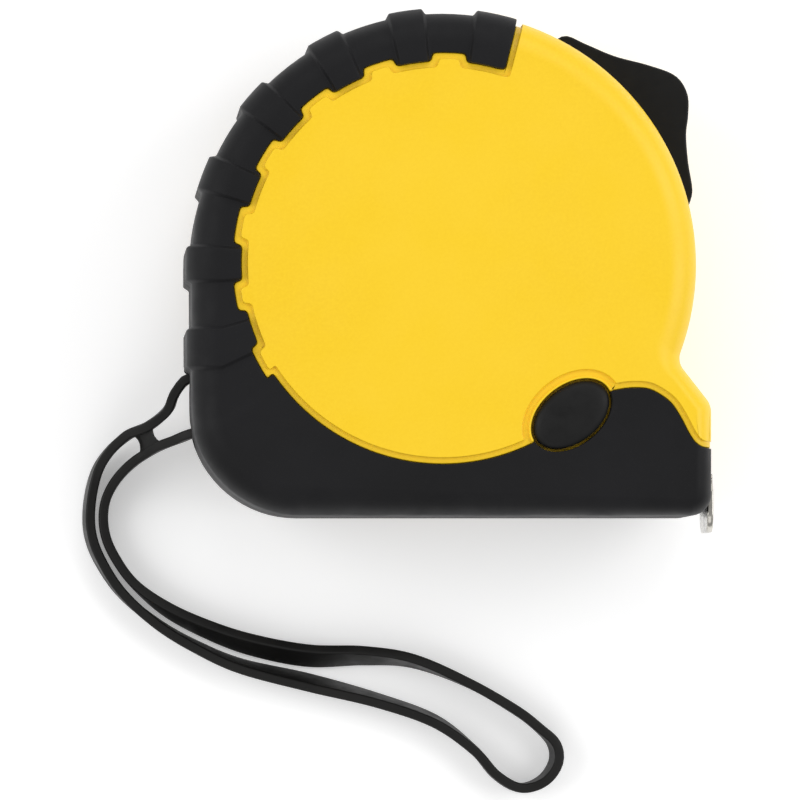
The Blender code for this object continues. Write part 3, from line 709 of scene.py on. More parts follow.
# %% [markdown]
# ## Wrist strap
#
# The strap is one moulded rubber band, five millimetres wide, that stands on its edge. It leaves the case
# through a slot, loops out over the table and comes back through a second slot, and both ends go round a
# steel pin inside. It could be a curve with a bevel, but a curve can't lean a flat band to one side and
# the other, so a section is carried along the route. Each point of the route says how far the band leans.

# %% Carry the band's section along its route
STRAP_WIDTH = 5.0
STRAP_T = 1.4
STRAP_CORNER = 0.32
STRAP_STEP = 0.8
STRAP_ROUTE = (
    (-27.6, -19.9, 12.5, 0), (-28.5, -17.8, 12.5, 0), (-31.0, -17.0, 12.5, 0), (-35.2, -15.4, 12.5, 0),
    (-37.4, -17.3, 11.8, 0), (-38.7, -20.0, 10.4, 0), (-41.2, -22.1, 8.4, 0), (-44.2, -23.5, 6.2, 0),
    (-46.9, -25.8, 4.4, -2), (-48.9, -29.0, 3.2, -5), (-49.9, -33.5, 2.8, -6), (-49.8, -37.8, 2.7, -6),
    (-48.3, -41.8, 2.7, -5), (-45.1, -46.5, 2.7, -2), (-40.0, -50.9, 2.7, 3), (-34.4, -54.2, 2.7, 7),
    (-27.9, -57.0, 2.8, 12), (-18.0, -59.4, 2.8, 18), (-8.0, -62.0, 2.8, 11), (0.3, -65.0, 2.8, 8),
    (6.0, -69.2, 2.7, 2), (9.2, -72.8, 2.7, 0), (12.7, -74.7, 2.7, 0), (16.0, -73.7, 2.7, 5),
    (17.9, -71.1, 2.7, 8), (17.7, -68.4, 2.7, 6), (15.6, -66.1, 2.7, 0), (12.1, -63.4, 2.7, 0),
    (5.3, -59.5, 2.7, 0), (-2.8, -56.3, 2.8, 9), (-10.0, -55.5, 2.9, 20), (-18.0, -55.5, 2.9, 27),
    (-26.0, -54.0, 2.9, 25), (-32.2, -51.9, 2.8, 19), (-38.4, -48.9, 2.7, 11), (-43.3, -45.1, 2.7, 0),
    (-46.3, -41.0, 2.7, 0), (-47.7, -37.4, 2.7, 0), (-47.7, -33.6, 2.8, 0), (-46.3, -30.4, 3.2, 0),
    (-43.7, -27.6, 4.8, 0), (-40.2, -25.4, 7.4, 0), (-37.2, -24.2, 10.2, 0), (-34.6, -23.3, 12.2, 0),
    (-31.0, -22.8, 12.5, 0), (-28.5, -22.0, 12.5, 0),
)


def band_section(thickness, width, corner):
    """A rounded rectangle, as sideways and crosswise distances from the middle."""
    section = []
    for side, cross, start in ((1, 1, 0), (-1, 1, 90), (-1, -1, 180), (1, -1, 270)):
        middle = (side * (thickness / 2 - corner), cross * (width / 2 - corner))
        section += arc(middle, corner, start, start + 90, 30.0)
    return section


def band_directions(route, i):
    """At a point of the route, the directions across the band's thickness and along its width."""
    count = len(route)
    along = (Vector(route[(i + 1) % count][:3]) - Vector(route[i - 1][:3])).normalized()
    across = Matrix.Rotation(math.radians(route[i][3]), 3, along) @ Vector((0, 0, 1))
    across = (across - along * across.dot(along)).normalized()
    return across.cross(along).normalized(), across


def strap_band():
    route = smooth_line(STRAP_ROUTE, STRAP_STEP, closed=True)
    section = band_section(STRAP_T, STRAP_WIDTH, STRAP_CORNER)
    bm = bmesh.new()
    loops = []
    for i, here in enumerate(route):
        side, across = band_directions(route, i)
        loops.append(ring_edges(bm, [Vector(here[:3]) + side * s + across * w for s, w in section]))
    for loop, following in zip(loops, loops[1:] + loops[:1]):
        bmesh.ops.bridge_loops(bm, edges=loop + following)
    bmesh.ops.recalc_face_normals(bm, faces=bm.faces)
    return make_piece("strap_band", bm), route


# %% [markdown]
# Close to the case a web joins the two strands into one tail, with a rounded notch at both ends. It is a
# small sheet between the strands, drawn as rows that follow them, and then given its thickness.

# %% Make the web and fit the strap
WEB_ROWS = ((-40.6, -21.7, -38.9, -24.9), (-41.8, -22.3, -40.4, -25.5), (-43.0, -22.9, -41.8, -26.3),
            (-43.9, -23.4, -42.9, -27.1))
WEB_HEIGHTS = (9.0, 8.0, 7.0, 6.2)
WEB_PULLS = (1.0, 0.3, -0.3, -1.0)
WEB_HEADING = (-1.0, -0.6)
WEB_COLUMNS = 6
WEB_T = 4.3
WEB_NOTCH = 0.9


def strap_web():
    """The sheet between the strands, pulled in at the middle of its two ends."""
    bm = bmesh.new()
    rows = []
    ends = Vector(WEB_HEADING).normalized() * WEB_NOTCH
    for (ax, ay, bx, by), z, pull in zip(WEB_ROWS, WEB_HEIGHTS, WEB_PULLS):
        row = []
        for j in range(WEB_COLUMNS + 1):
            part = j / WEB_COLUMNS
            bow = pull * (1 - (2 * part - 1) ** 2)
            x, y = ax + (bx - ax) * part + ends.x * bow, ay + (by - ay) * part + ends.y * bow
            row.append(bm.verts.new((x, y, z)))
        rows.append([bm.edges.new(pair) for pair in zip(row, row[1:])])
    for row, following in zip(rows, rows[1:]):
        bmesh.ops.bridge_loops(bm, edges=row + following)
    thick = bmesh.ops.extrude_face_region(bm, geom=bm.faces[:])
    risen = [part for part in thick["geom"] if isinstance(part, bmesh.types.BMVert)]
    bmesh.ops.translate(bm, verts=risen, vec=(0, 0, WEB_T))
    bmesh.ops.translate(bm, verts=bm.verts, vec=(0, 0, -WEB_T / 2))
    bmesh.ops.recalc_face_normals(bm, faces=bm.faces)
    return make_piece("web", bm)


band, strap_route = strap_band()
finished(join(band, strap_web()), "fine_wrist_strap", "strap_rubber", "case", ["wrist_strap"])

# %% [markdown]
# ## The case's outline
#
# Seen from the front the case is a circle that runs into a straight back, a rounded heel, a flat base and
# a small square nose, with a hollow waist between the nose and the circle. Each point of the outline is
# kept with the direction that points out of the case there. To draw the outline smaller, every point
# moves inwards along that direction, so that round stretches keep their centres.

# %% Draw the outline of the case
HEEL_R = 15.5
HEEL_X = -35.5
NOSE_R = 3.0
NOSE_LEFT = 0.3
WAIST_R = 2.5
FLARE_HEADING = 128.0
FLARE_POINT = (36.0, -17.2)
NOSE_EDGE = 0.6
EDGE_R = 4.2
RIB_ANGLES = (78.5, 98.5, 118.0, 138.5, 159.0, 180.0, 198.5)
RIB_HALF = 4.1
SHOULDER = 0.55
HEEL_STEP = 214.0
HEEL_FADE = 250.0
HEEL_RISE = 0.22
BACK_END = 209.0
CROWN_START = 60.0
HEEL_CENTRE = (HEEL_X + HEEL_R, BASE_Y + HEEL_R)


def stations(start, end, step):
    """Angles from start to end, close together where a rib rises."""
    shoulders = []
    for rib in RIB_ANGLES:
        for way in (-1, 1):
            shoulders += [rib + way * (RIB_HALF + SHOULDER * share) for share in (-1, -0.5, 0, 0.5, 1)]
    shoulders = [angle for angle in shoulders if start < angle < end]
    count = round((end - start) / step)
    even = [start + (end - start) * i / count for i in range(count + 1)]
    clear = [angle for angle in even
             if angle in (start, end) or all(abs(angle - near) > 0.5 for near in shoulders)]
    return sorted(clear + shoulders)


def case_line(radius):
    """Points round the case, each with its outward direction and its share in the nose."""
    nx, ny = polar(FLARE_HEADING - 90.0, 1.0)
    flare = FLARE_POINT[0] * nx + FLARE_POINT[1] * ny
    across = flare + WAIST_R
    down = math.sqrt((radius + WAIST_R) ** 2 - across * across)
    waist = (across * nx + down * ny, across * ny - down * nx)
    waist_angle = math.degrees(math.atan2(waist[1], waist[0]))
    line = [(polar(angle, radius), polar(angle, 1.0), 0.0) for angle in stations(waist_angle, 180.0, 2.5)]
    for angle in stations(180.0, BACK_END, 2.5)[1:]:
        part = radius * math.tan(math.radians(angle - 180.0)) / -HEEL_CENTRE[1]
        line.append(((-radius + (HEEL_X + radius) * part, HEEL_CENTRE[1] * part), (-1.0, 0.0), 0.0))
    for point in arc((0, 0), 1.0, 180.0, 270.0, 5.0):
        line.append(((HEEL_CENTRE[0] + HEEL_R * point[0], HEEL_CENTRE[1] + HEEL_R * point[1]), point, 0.0))
    toe = (NOSE_X - NOSE_R, BASE_Y + NOSE_R)
    brow = (toe[0], (flare - NOSE_R - toe[0] * nx) / ny)
    for centre, start, end in ((toe, 270.0, 360.0), (brow, 0.0, FLARE_HEADING - 90.0)):
        for point in arc((0, 0), 1.0, start, end, 9.0):
            line.append(((centre[0] + NOSE_R * point[0], centre[1] + NOSE_R * point[1]), point, 1.0))
    turns = arc((0, 0), 1.0, FLARE_HEADING + 90.0, waist_angle + 180.0, 6.0)[:-1]
    for i, point in enumerate(turns):
        place = (waist[0] + WAIST_R * point[0], waist[1] + WAIST_R * point[1])
        line.append((place, (-point[0], -point[1]), 1.0 - i / len(turns)))
    return line


def rib_height(x, y):
    """1 on a rib, 0 between the ribs, with soft shoulders."""
    angle = math.degrees(math.atan2(y, x)) % 360.0
    if CROWN_START < angle < RIB_ANGLES[0]:
        return 1.0
    if HEEL_STEP < angle < HEEL_FADE:
        return HEEL_RISE * (HEEL_FADE - angle) / (HEEL_FADE - HEEL_STEP)
    away = min(abs(angle - rib) for rib in RIB_ANGLES) - RIB_HALF
    share = min(max((SHOULDER - away) / (2 * SHOULDER), 0.0), 1.0)
    return share * share * (3 - 2 * share)


# %% [markdown]
# ## One half of the case as a solid
#
# The half starts at the parting line in the middle of the thickness, goes straight up the side, turns
# over the rounded edge and ends flat. Each level is one ring. The ribs of the grip are lifted from the
# same rings: out of the side wall, over the edge and up from the face. Cutting separate ribs and gluing
# them on would leave hard seams where rubber flows.

# %% Stack the levels of one half
EDGE_STEPS = 9
FLAT_SHRINK = (0.83, 0.6)
FOOT_HEIGHT = 0.2
FOOT_INSET = 0.12


def half_solid(name, front, radius, edge_r=EDGE_R, rise=0.0, inset=0.0, ribs=(0.0, 0.0), foot=0.0,
               nose_inset=None):
    """One half as a solid. ribs says how far ribs stand out of the side and out of the face."""
    nose_inset = inset if nose_inset is None else nose_inset
    way = 1 if front else -1
    line = case_line(radius)
    top = FRONT_Z - MID_Z + rise
    levels = [(GAP / 2 + foot, FOOT_INSET, 0.0), (GAP / 2 + foot + FOOT_HEIGHT, 0.0, 0.0)]
    for i in range(EDGE_STEPS + 1):
        turned = math.radians(90.0 * i / EDGE_STEPS)
        levels.append((top - edge_r + edge_r * math.sin(turned), edge_r * (1 - math.cos(turned)), turned))
    rings = []
    for height, drawn_in, turned in levels:
        ring = []
        for (x, y), (ox, oy), nose in line:
            high = rib_height(x, y) if ribs[0] else 0.0
            inwards = inset + (nose_inset - inset) * nose + drawn_in * (1 - nose * (1 - NOSE_EDGE))
            if nose == 1.0:
                inwards = min(inwards, NOSE_R - NOSE_LEFT * (1 + inset))
            away = ribs[0] * high * math.cos(turned) - inwards
            z = MID_Z + way * (height + ribs[1] * high * math.sin(turned))
            ring.append((x + ox * away, y + oy * away, z))
        rings.append(ring)
    for shrink in FLAT_SHRINK:
        lift = 1 if shrink == FLAT_SHRINK[0] else 0
        flat = MID_Z + way * top
        last = rings[EDGE_STEPS + 2]
        rings.append([(x * shrink, y * shrink, flat + (z - flat) * lift) for x, y, z in last])
    return stack(name, rings)


# %% [markdown]
# ## The border between the yellow face and the rubber
#
# On each half the rubber ends in a stepped line: further in under each rib, further out between the ribs.
# Below the ribs it runs in one big arc to the button, then over a small dome to the nose. The same line
# is needed a little further into the yellow as well, where the face drops to a narrow ledge beside the
# rubber, so it is drawn by one function that says how far into the yellow it lies.

# %% Draw the border line
RIB_INNER_R = 28.7
SKIN_INNER_R = 29.9
STEP_HALF = 0.5
RIB_STEP = 4.3
GRIP_END = ((12.9, 43.8), (8.6, 27.5))
GRIP_END_RUN = 16.9
LOWER_R = 28.87
LOWER_CENTRE = (-0.2, 0.45)
LOWER_END = {True: 296.0, False: 290.0}
NOSE_END = {True: ((18.06, -21.43), (23.9, -18.0)), False: ((13.6, -24.3), (19.5, -20.3), (23.0, -18.2))}
DOME = ((25.6, -17.7), (27.4, -17.6), (29.4, -17.9), (31.9, -19.5), (33.4, -21.6), (34.9, -24.4),
        (36.1, -25.7), (38.1, -26.1), (46.0, -26.1))
CORNER_R = 0.75
CROWN_END = 74.5
FAR = 60
NOSE_LINE_Y = -26.1
OVER = 5


def border(front, away=0.0):
    """From the grip's end to the nose, moved into the yellow by a distance."""
    spread = math.degrees(away / SKIN_INNER_R)
    line = moved(GRIP_END, away)
    inner, outer = RIB_INNER_R - away, SKIN_INNER_R - away
    line[1] = tuple(Vector(line[0]).lerp(Vector(line[1]), 1.0 + away / GRIP_END_RUN))
    angle = RIB_ANGLES[0] + RIB_STEP
    line += arc((0, 0), inner, CROWN_END - spread, angle + STEP_HALF + spread, 3.0)
    for rib in RIB_ANGLES[1:]:
        rib_start, rib_end = rib - RIB_STEP, rib + RIB_STEP
        gap_end = rib_start - 2 * STEP_HALF - spread
        line += arc((0, 0), outer, angle + 2 * STEP_HALF + spread, gap_end, 3.0)
        line += arc((0, 0), inner, rib_start - STEP_HALF - spread, rib_end + STEP_HALF + spread, 3.0)
        angle = rib_end
    line += arc((0, 0), outer, angle + 2 * STEP_HALF + spread, HEEL_STEP - STEP_HALF - spread, 3.0)
    line += arc(LOWER_CENTRE, LOWER_R - away, HEEL_STEP - spread, LOWER_END[front], 2.0)
    line = rounded(line, CORNER_R)
    dome = list(NOSE_END[front]) + [tuple(p) for p in smooth_line(DOME, 0.6)]
    return line + (moved(dome, away) if away else dome)


def yellow_zone(front, away):
    """Everything on the yellow side of the border."""
    line = border(front, away)
    around = [(FAR, -26 + away), (FAR, FAR), (line[0][0], FAR)]
    return slab("yellow_zone", line + around, REAR_Z - OVER, FRONT_Z + OVER)


def rubber_zone(front):
    line = border(front)[::-1]
    around = [(GRIP_END[0][0], FAR), (-FAR, FAR), (-FAR, -FAR), (FAR, -FAR), (FAR, NOSE_LINE_Y)]
    return slab("rubber_zone", line + around, REAR_Z - OVER, FRONT_Z + OVER)


print("border of", len(border(True)), "points")

# %% [markdown]
# ## Cutters that both halves share
#
# Some openings run through both halves: the mouth for the blade, the slot for the lock with the track it
# slides in, and the two slots for the strap. Each cutter is made when it is needed, because a cutter is
# used up by its cut.

# %% Make the shared cutters
WALL_INSET = 2.95
MOUTH_FLOOR_Y = BASE_Y + 3.0
MOUTH_TOP_Y = -28.3
OUTSIDE = (42.0, -45.0)
MOUTH_BOXES = (
    ("mouth", 33.0, MOUTH_FLOOR_Y, MOUTH_TOP_Y, 10.1),
    ("hook_recess", 37.35, OUTSIDE[1], MOUTH_TOP_Y, 9.0),
    ("bumper_pocket", 36.1, OUTSIDE[1], MOUTH_FLOOR_Y + 0.1, 8.8),
)
LOCK_HALF = 7.0
TRACK_R = (33.3, 34.6)
TRACK_HALF = 9.2
LOCK_SLOT = ((30.0, 50.0), 0.8, 64.8)
LOCK_TRACK = ((31.0, TRACK_R[1] + GAP), -42.0, 69.0)
SCREWS = (("corner", (-25.5, -26.0)), ("nose", (31.8, -22.0)), ("top", (0.84, 31.9)))
SCREW_R = 1.0
HEAD_R = 2.1
BOSS_R = 2.0
SPINDLE_R = 3.2
CLIP_SCREW_Y = 11.0
CLIP_HOLE_R = 1.8
STRAP_SLOTS = ((-35.2, -15.7), (-34.6, -23.5))
STRAP_SLOT_Z = (8.6, 15.4)
STRAP_SLOT_HALF = 1.85
STRAP_SLOT_REACH = 6


def sector(name, radii, start, end, low, high, step=3.0):
    outline = arc((0, 0), radii[1], start, end, step) + arc((0, 0), radii[0], end, start, step)
    return slab(name, outline, low, high)


def mouth_cutters():
    """Room for the blade, for the hook and for the hook's rubber bumper."""
    return [block(name, (from_x, low_y, MID_Z - half), (OUTSIDE[0], high_y, MID_Z + half))
            for name, from_x, low_y, high_y, half in MOUTH_BOXES]


def lock_cutters():
    half = LOCK_HALF + GAP
    return [sector("lock_slot", *LOCK_SLOT, MID_Z - half, MID_Z + half),
            sector("lock_track", *LOCK_TRACK, MID_Z - TRACK_HALF, MID_Z + TRACK_HALF)]


def strap_slots():
    low, high = STRAP_SLOT_Z
    slots = [block("slot", (x - STRAP_SLOT_REACH, y - STRAP_SLOT_HALF, low),
                   (x + STRAP_SLOT_REACH, y + STRAP_SLOT_HALF, high)) for x, y in STRAP_SLOTS]
    return gathered(*slots)


# %% [markdown]
# ## Yellow case halves
#
# Each half is one moulding: a thin core that the rubber lies on, and a thicker yellow face that stands
# level with the rubber. Beside the rubber the face drops to a narrow ledge, which hides the seam and
# gives the thin shadow line round the yellow. Round the button's well a fine lip rises again. Inside, the
# half is hollow, with posts for the screws and a socket for the spindle.

# %% Draw the button's tilted oval
BUTTON = (18.06, -21.43)
BUTTON_TILT = 37.5
BUTTON_AXES = (6.0, 3.9)
WELL_AXES = (6.45, 4.3)
STEM_BELOW = 1.05
WELL_FLOOR_Z = node_box("side_button")[0].z + STEM_BELOW
STEM_R = 1.6


def oval(more=0.0, axes=WELL_AXES, count=96):
    """The button's oval with these half axes, or a little more."""
    tilt = Matrix.Rotation(math.radians(BUTTON_TILT), 2)
    ring = []
    for i in range(count):
        turned = 2 * math.pi * i / count
        p = tilt @ Vector(((axes[0] + more) * math.cos(turned), (axes[1] + more) * math.sin(turned)))
        ring.append((BUTTON[0] + p.x, BUTTON[1] + p.y))
    return ring


# %% Mould a case half
SKIN = 1.1
CORE_EDGE_R = 3.0
LEDGE_GAP = 0.1
LEDGE_WIDTH = 0.95
LEDGE_DROP = 0.53
LIP_WIDTH = 0.32
LEDGE_ROUND = 0.12
WELL_LINING = 0.8
LEDGE_FOOT = 0.06
FACE_FOOT = 0.03
LEDGE_NOSE_INSET = 0.13
LIP_SPAN = (-2.2, -0.03)
FLAT_SLACK = 0.005
FLAT_ANGLE = 0.2
FACE_WALL = 3.0
SOCKET_WALL = 1.8
SOCKET_SPAN = (-2.6, 0.5)
BORE_DEPTH = 4.0
HOLLOW_LEVELS = ((-1.0, 0.0), (13.5, 0.0), (14.6, 0.45), (15.0, 1.5))
CLIP_POST = (3.0, 2.0, 6.2)
SEAT_DEPTH = 2.6


def hollow_solid():
    """The room inside a half, a wall's thickness in from the outline and rounded off at its end."""
    rings = []
    for height, more in HOLLOW_LEVELS:
        ring = []
        for (x, y), (ox, oy), nose in case_line(CASE_R):
            away = NOSE_R - NOSE_LEFT if nose == 1.0 else WALL_INSET + more * (1 - nose)
            ring.append((x - ox * away, y - oy * away, MID_Z + height))
        rings.append(ring)
    return stack("hollow", rings)


def turned_over(body):
    """The body mirrored in the middle of the thickness."""
    bm = bmesh.new()
    bm.from_mesh(body.data)
    mirror = Matrix.Translation((0, 0, 2 * MID_Z)) @ Matrix.Diagonal((1, 1, -1, 1))
    bmesh.ops.transform(bm, matrix=mirror, verts=bm.verts)
    bmesh.ops.reverse_faces(bm, faces=bm.faces)
    bm.to_mesh(body.data)
    bm.free()
    return body


def whole_face(body):
    """Makes one clean face of the flat top, so that no needle-thin scraps stay in it."""
    bm = bmesh.new()
    bm.from_mesh(body.data)
    top = [vert for vert in bm.verts if vert.co.z > FRONT_Z - FLAT_SLACK]
    edges = [edge for edge in bm.edges if all(vert.co.z > FRONT_Z - FLAT_SLACK for vert in edge.verts)]
    bmesh.ops.dissolve_limit(bm, angle_limit=math.radians(FLAT_ANGLE), verts=top, edges=edges)
    bm.to_mesh(body.data)
    bm.free()
    return body


def case_half(front):
    """A half with its face up. The rear half is turned over when it's done."""
    body = half_solid("core", True, RUBBER_R, CORE_EDGE_R, -SKIN - GAP, SKIN + GAP)
    ledge = half_solid("ledge", True, CASE_R, EDGE_R, -LEDGE_DROP, LEDGE_DROP, foot=LEDGE_FOOT,
                       nose_inset=LEDGE_NOSE_INSET)
    join(body, keep(ledge, yellow_zone(front, LEDGE_GAP)))
    face = keep(half_solid("face", True, CASE_R, foot=FACE_FOOT), yellow_zone(front, LEDGE_WIDTH))
    if front:
        cut(face, slab("clearing", oval(LEDGE_WIDTH + LIP_WIDTH), FRONT_Z - 6, FRONT_Z + 6))
        lip = slab("lip", oval(LIP_WIDTH), *(FRONT_Z + drop for drop in LIP_SPAN))
        join(body, face, keep(lip, yellow_zone(front, 2 * LEDGE_GAP)))
    else:
        join(body, face)
    cut(body, hollow_solid())
    inner = FRONT_Z - FACE_WALL
    posts = [rod("post", centre, BOSS_R, MID_Z + GAP, inner + 0.1, 32) for _, centre in SCREWS]
    socket_low, socket_high = (inner + end for end in SOCKET_SPAN)
    join(body, gathered(*posts, rod("socket", (0, 0), SPINDLE_R + SOCKET_WALL, socket_low, socket_high)))
    bore = rod("bore", (0, 0), SPINDLE_R + GAP, inner - BORE_DEPTH, inner)
    cut(body, bore, *mouth_cutters(), *lock_cutters())
    whole_face(body)
    return body if front else turned_over(body)


def front_case():
    body = case_half(True)
    join(body, slab("well_boss", oval(1.1), WELL_FLOOR_Z - 1.0, WELL_FLOOR_Z + 1.0))
    lining_room = slab("lining_room", oval(WELL_LINING), WELL_FLOOR_Z + 0.1, FRONT_Z + 3)
    cut(body, slab("well", oval(), WELL_FLOOR_Z, FRONT_Z + 3), keep(lining_room, rubber_zone(True)))
    holes = [rod("hole", centre, SCREW_R + GAP, MID_Z - 1, MID_Z + 9.5, 24) for _, centre in SCREWS]
    stem = rod("stem_hole", BUTTON, STEM_R + 0.4, WELL_FLOOR_Z - 3, WELL_FLOOR_Z + 1, 32)
    return cut(body, gathered(stem, *holes))


def rear_case():
    body = case_half(False)
    post_r, post_low, post_high = CLIP_POST
    join(body, rod("clip_post", (0, CLIP_SCREW_Y), post_r, REAR_Z + post_low, REAR_Z + post_high, 32))
    holes = [rod("hole", centre, SCREW_R + GAP, REAR_Z - 1, MID_Z + 1, 24) for _, centre in SCREWS]
    holes.append(rod("clip_hole", (0, CLIP_SCREW_Y), CLIP_HOLE_R, REAR_Z - 1, REAR_Z + 8, 24))
    cut(body, gathered(*holes))
    seats = [rod("seat", centre, HEAD_R + GAP, REAR_Z - 3, REAR_Z + SEAT_DEPTH, 40)
             for _, centre in SCREWS]
    return cut(body, gathered(*seats), strap_slots())


for node, mould in (("front_shell", front_case), ("rear_shell", rear_case)):
    finished(soften(mould(), LEDGE_ROUND), "fine_" + node, "case_plastic", "case", [node])

# %% [markdown]
# ## Black rubber grips
#
# Each grip is a rubber skin moulded over its half. Its inner side follows the core and its outer side
# carries the ribs, which wrap from the face over the edge to the parting line. The skin is cut out of the
# solid half by taking the core away and keeping what lies on the rubber side of the border. At the
# button's well the rubber turns down into the well and lines its wall.

# %% Mould the grips
RIB_RISE = 0.8
RIB_FACE_RISE = 0.6
GRIP_ROUND = 0.14


def grip_skin(front):
    body = half_solid("skin", front, RUBBER_R, EDGE_R, ribs=(RIB_RISE, RIB_FACE_RISE))
    cut(body, half_solid("inside", front, RUBBER_R, CORE_EDGE_R + 0.3, -SKIN, SKIN))
    way = 1 if front else -1
    around = [(x - ox * SKIN, y - oy * SKIN) for (x, y), (ox, oy), _ in case_line(RUBBER_R)]
    cut(body, slab("parting", around, *sorted((MID_Z - way * 2, MID_Z + way * 2))))
    keep(body, rubber_zone(front))
    cut(body, *mouth_cutters())
    if front:
        lining = slab("lining", oval(WELL_LINING - 0.05), WELL_FLOOR_Z + 0.15, FRONT_Z - 0.6)
        join(body, keep(lining, rubber_zone(True)))
        return cut(body, slab("well", oval(), MID_Z, FRONT_Z + 3))
    seats = [rod("seat", centre, HEAD_R + GAP + 0.2, REAR_Z - 3, MID_Z - 2, 40) for _, centre in SCREWS]
    return cut(body, gathered(*seats), strap_slots())


for node in ("front_grip", "rear_grip"):
    skin = soften(grip_skin(node == "front_grip"), GRIP_ROUND)
    finished(skin, "fine_" + node, "grip_rubber", "case", [node])

# %% [markdown]
# ## Thumb lock
#
# The lock is one moulding: a curved guide that slides in a track behind the case wall, a long thin arm
# that reaches round to the blade and pinches it, and the pad for the thumb, which comes out through the
# slot. The pad is hard satin plastic, its corners well rounded by the mould. The guide and the arm are
# slices of a ring round the reel's axis, because that is the path the lock slides on.

# %% Mould the lock
LOCK_PAD = ((15.4, 31.4), (17.7, 33.0), (20.8, 31.8), (24.9, 30.1), (29.8, 28.8), (33.6, 27.3),
            (35.3, 24.7), (35.4, 21.6), (35.1, 18.9), (35.4, 14.9), (36.0, 10.9), (35.4, 8.6))
PAD_SPACING = 0.8
PAD_ROUND = 0.3
TRACK_SPAN = (12.0, 66.0)
ARM_SPAN = (-50.5, 65.0)
GUIDE_HALF = 8.8
ARM_HALF = 4.8


def thumb_lock():
    pad_line = [tuple(p) for p in smooth_line(LOCK_PAD, PAD_SPACING)]
    pad_line += arc((0, 0), TRACK_R[1] - 0.5, 14.5, 63.0)
    pad = slab("pad", pad_line, MID_Z - LOCK_HALF, MID_Z + LOCK_HALF)
    guide = sector("guide", TRACK_R, *TRACK_SPAN, MID_Z - GUIDE_HALF, MID_Z + GUIDE_HALF)
    arm = sector("arm", TRACK_R, *ARM_SPAN, MID_Z - ARM_HALF, MID_Z + ARM_HALF)
    return soften(join(guide, arm, pad), PAD_ROUND, segments=4, angle=50.0)


finished(thumb_lock(), "fine_thumb_lock", "lock_plastic", "lock", ["thumb_lock"])

# %% [markdown]
# ## Side button and its spring
#
# The button is a domed rubber cap on a stem. Pressing it pushes a felt pad against the reel and slows the
# blade. The cap is hollow to leave room for a small coil spring. The dome is a stack of ovals that get
# smaller towards the top, as a lathe would turn it if it could turn ovals. The spring is a wire carried
# along a helix.

# %% Mould the button and wind its spring
CAP_LEVELS = ((39.6, 0.0), (40.75, 0.0), (41.0, 0.05), (41.2, 0.16), (41.36, 0.34), (41.5, 0.62),
              (41.61, 1.0), (41.71, 1.55), (41.8, 2.2), (41.86, 2.9), (41.9, 3.6))
CAP_WALL = (0.9, 0.6)
CAP_ROOF_Z = 40.7
SPRING_TURNS = 3
SPRING_STEPS = 28
SPRING_WIRE = 0.22
SPRING_R = 2.35
SPRING_SPAN = (38.3, 40.4)


def side_button():
    body = stack("cap", [[(x, y, z) for x, y in oval(-inset, BUTTON_AXES)] for z, inset in CAP_LEVELS])
    inside = tuple(axis - wall for axis, wall in zip(BUTTON_AXES, CAP_WALL))
    cut(body, slab("inside", oval(0.0, inside), CAP_LEVELS[0][0] - 1, CAP_ROOF_Z))
    return join(body, rod("stem", BUTTON, STEM_R, WELL_FLOOR_Z - STEM_BELOW, CAP_ROOF_Z + 0.3, 40))


def coil_spring():
    low, high = SPRING_SPAN[0] + SPRING_WIRE, SPRING_SPAN[1] - SPRING_WIRE
    count = SPRING_TURNS * SPRING_STEPS
    rings = []
    for i in range(count + 1):
        out = Vector((*polar(360.0 * i / SPRING_STEPS, 1.0), 0.0))
        centre = Vector((*BUTTON, low + (high - low) * i / count)) + out * SPRING_R
        wire = arc((0, 0), SPRING_WIRE, 0.0, 330.0, 30.0)
        rings.append([centre + out * a + Vector((0, 0, b)) for a, b in wire])
    return stack("coil", rings)


finished(side_button(), "fine_side_button", "button_rubber", "button", ["side_button"])
spring = finished(coil_spring(), "fine_button_spring", "spring_steel", "case", ["button_spring"])
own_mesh(spring)

# %% [markdown]
# ## Blade and end hook
#
# The blade is a thin steel strip, curved across so that it stays stiff when it's pulled out. Two rivets
# hold the hook on it. Their holes in the hook are slots, so the hook can shift by its own thickness and
# measures right both pushed and pulled. The hook's plate is bent down in front of the nose. Strip and tab
# are lofts of one curved section, which keeps them nested.

# %% Roll the blade, press the hook and set its rivets
BLADE_Y = -31.6
BLADE_T = 0.25
BLADE_ARCH = 2.0
BLADE_SPAN = (0.4, 37.2)
HOOK_X = 38.0
HOOK_LOW_Y = -37.9
TAB_X = 26.5
TAB_HALF = 6.0
TAB_T = 0.8
PLATE_HALF = 7.6
PLATE_CORNER = 3.0
PLATE_CREST = (-5.6, -4.2, -2.8, -1.4, 0, 1.4, 2.8, 4.2, 5.6)
PLATE_SHOULDER = ((-31.0, 6.4), (-31.9, PLATE_HALF))
HOOK_ROUND = 0.2
RIVET_X = 31.0
RIVET_OFFSET = 3.2
RIVET_HOLE = 1.05
HOOK_FLOAT = 1.0
RIVET_TAIL = ((-0.7, 1.2), (-0.62, 1.4), (-0.35, 1.4), (-0.35, 0.75))
RIVET_HEAD = ((0.0, 0.75), (0.0, 1.5), (0.2, 1.5), (0.42, 1.3), (0.55, 0.9), (0.6, 0.4))
BUMPER = ((36.4, -32.85), (37.1, -32.85), (37.1, -35.0), (36.4, -35.3))
BUMPER_HALF = 8.4
BUMPER_ROUND = 0.12


def arch_height(offset):
    return BLADE_ARCH * (offset / BLADE_HALF) ** 2


def arched_strip(name, span, half, lift, thickness, count=24):
    """A strip along X with the blade's curved section, lifted off the blade's underside."""
    offsets = [-half + 2 * half * i / count for i in range(count + 1)]
    lower = [(BLADE_Y + arch_height(off) + lift, MID_Z + off) for off in offsets]
    upper = [(y + thickness, z) for y, z in lower]
    ring = lower + upper[::-1]
    return stack(name, [[(x, y, z) for y, z in ring] for x in span])


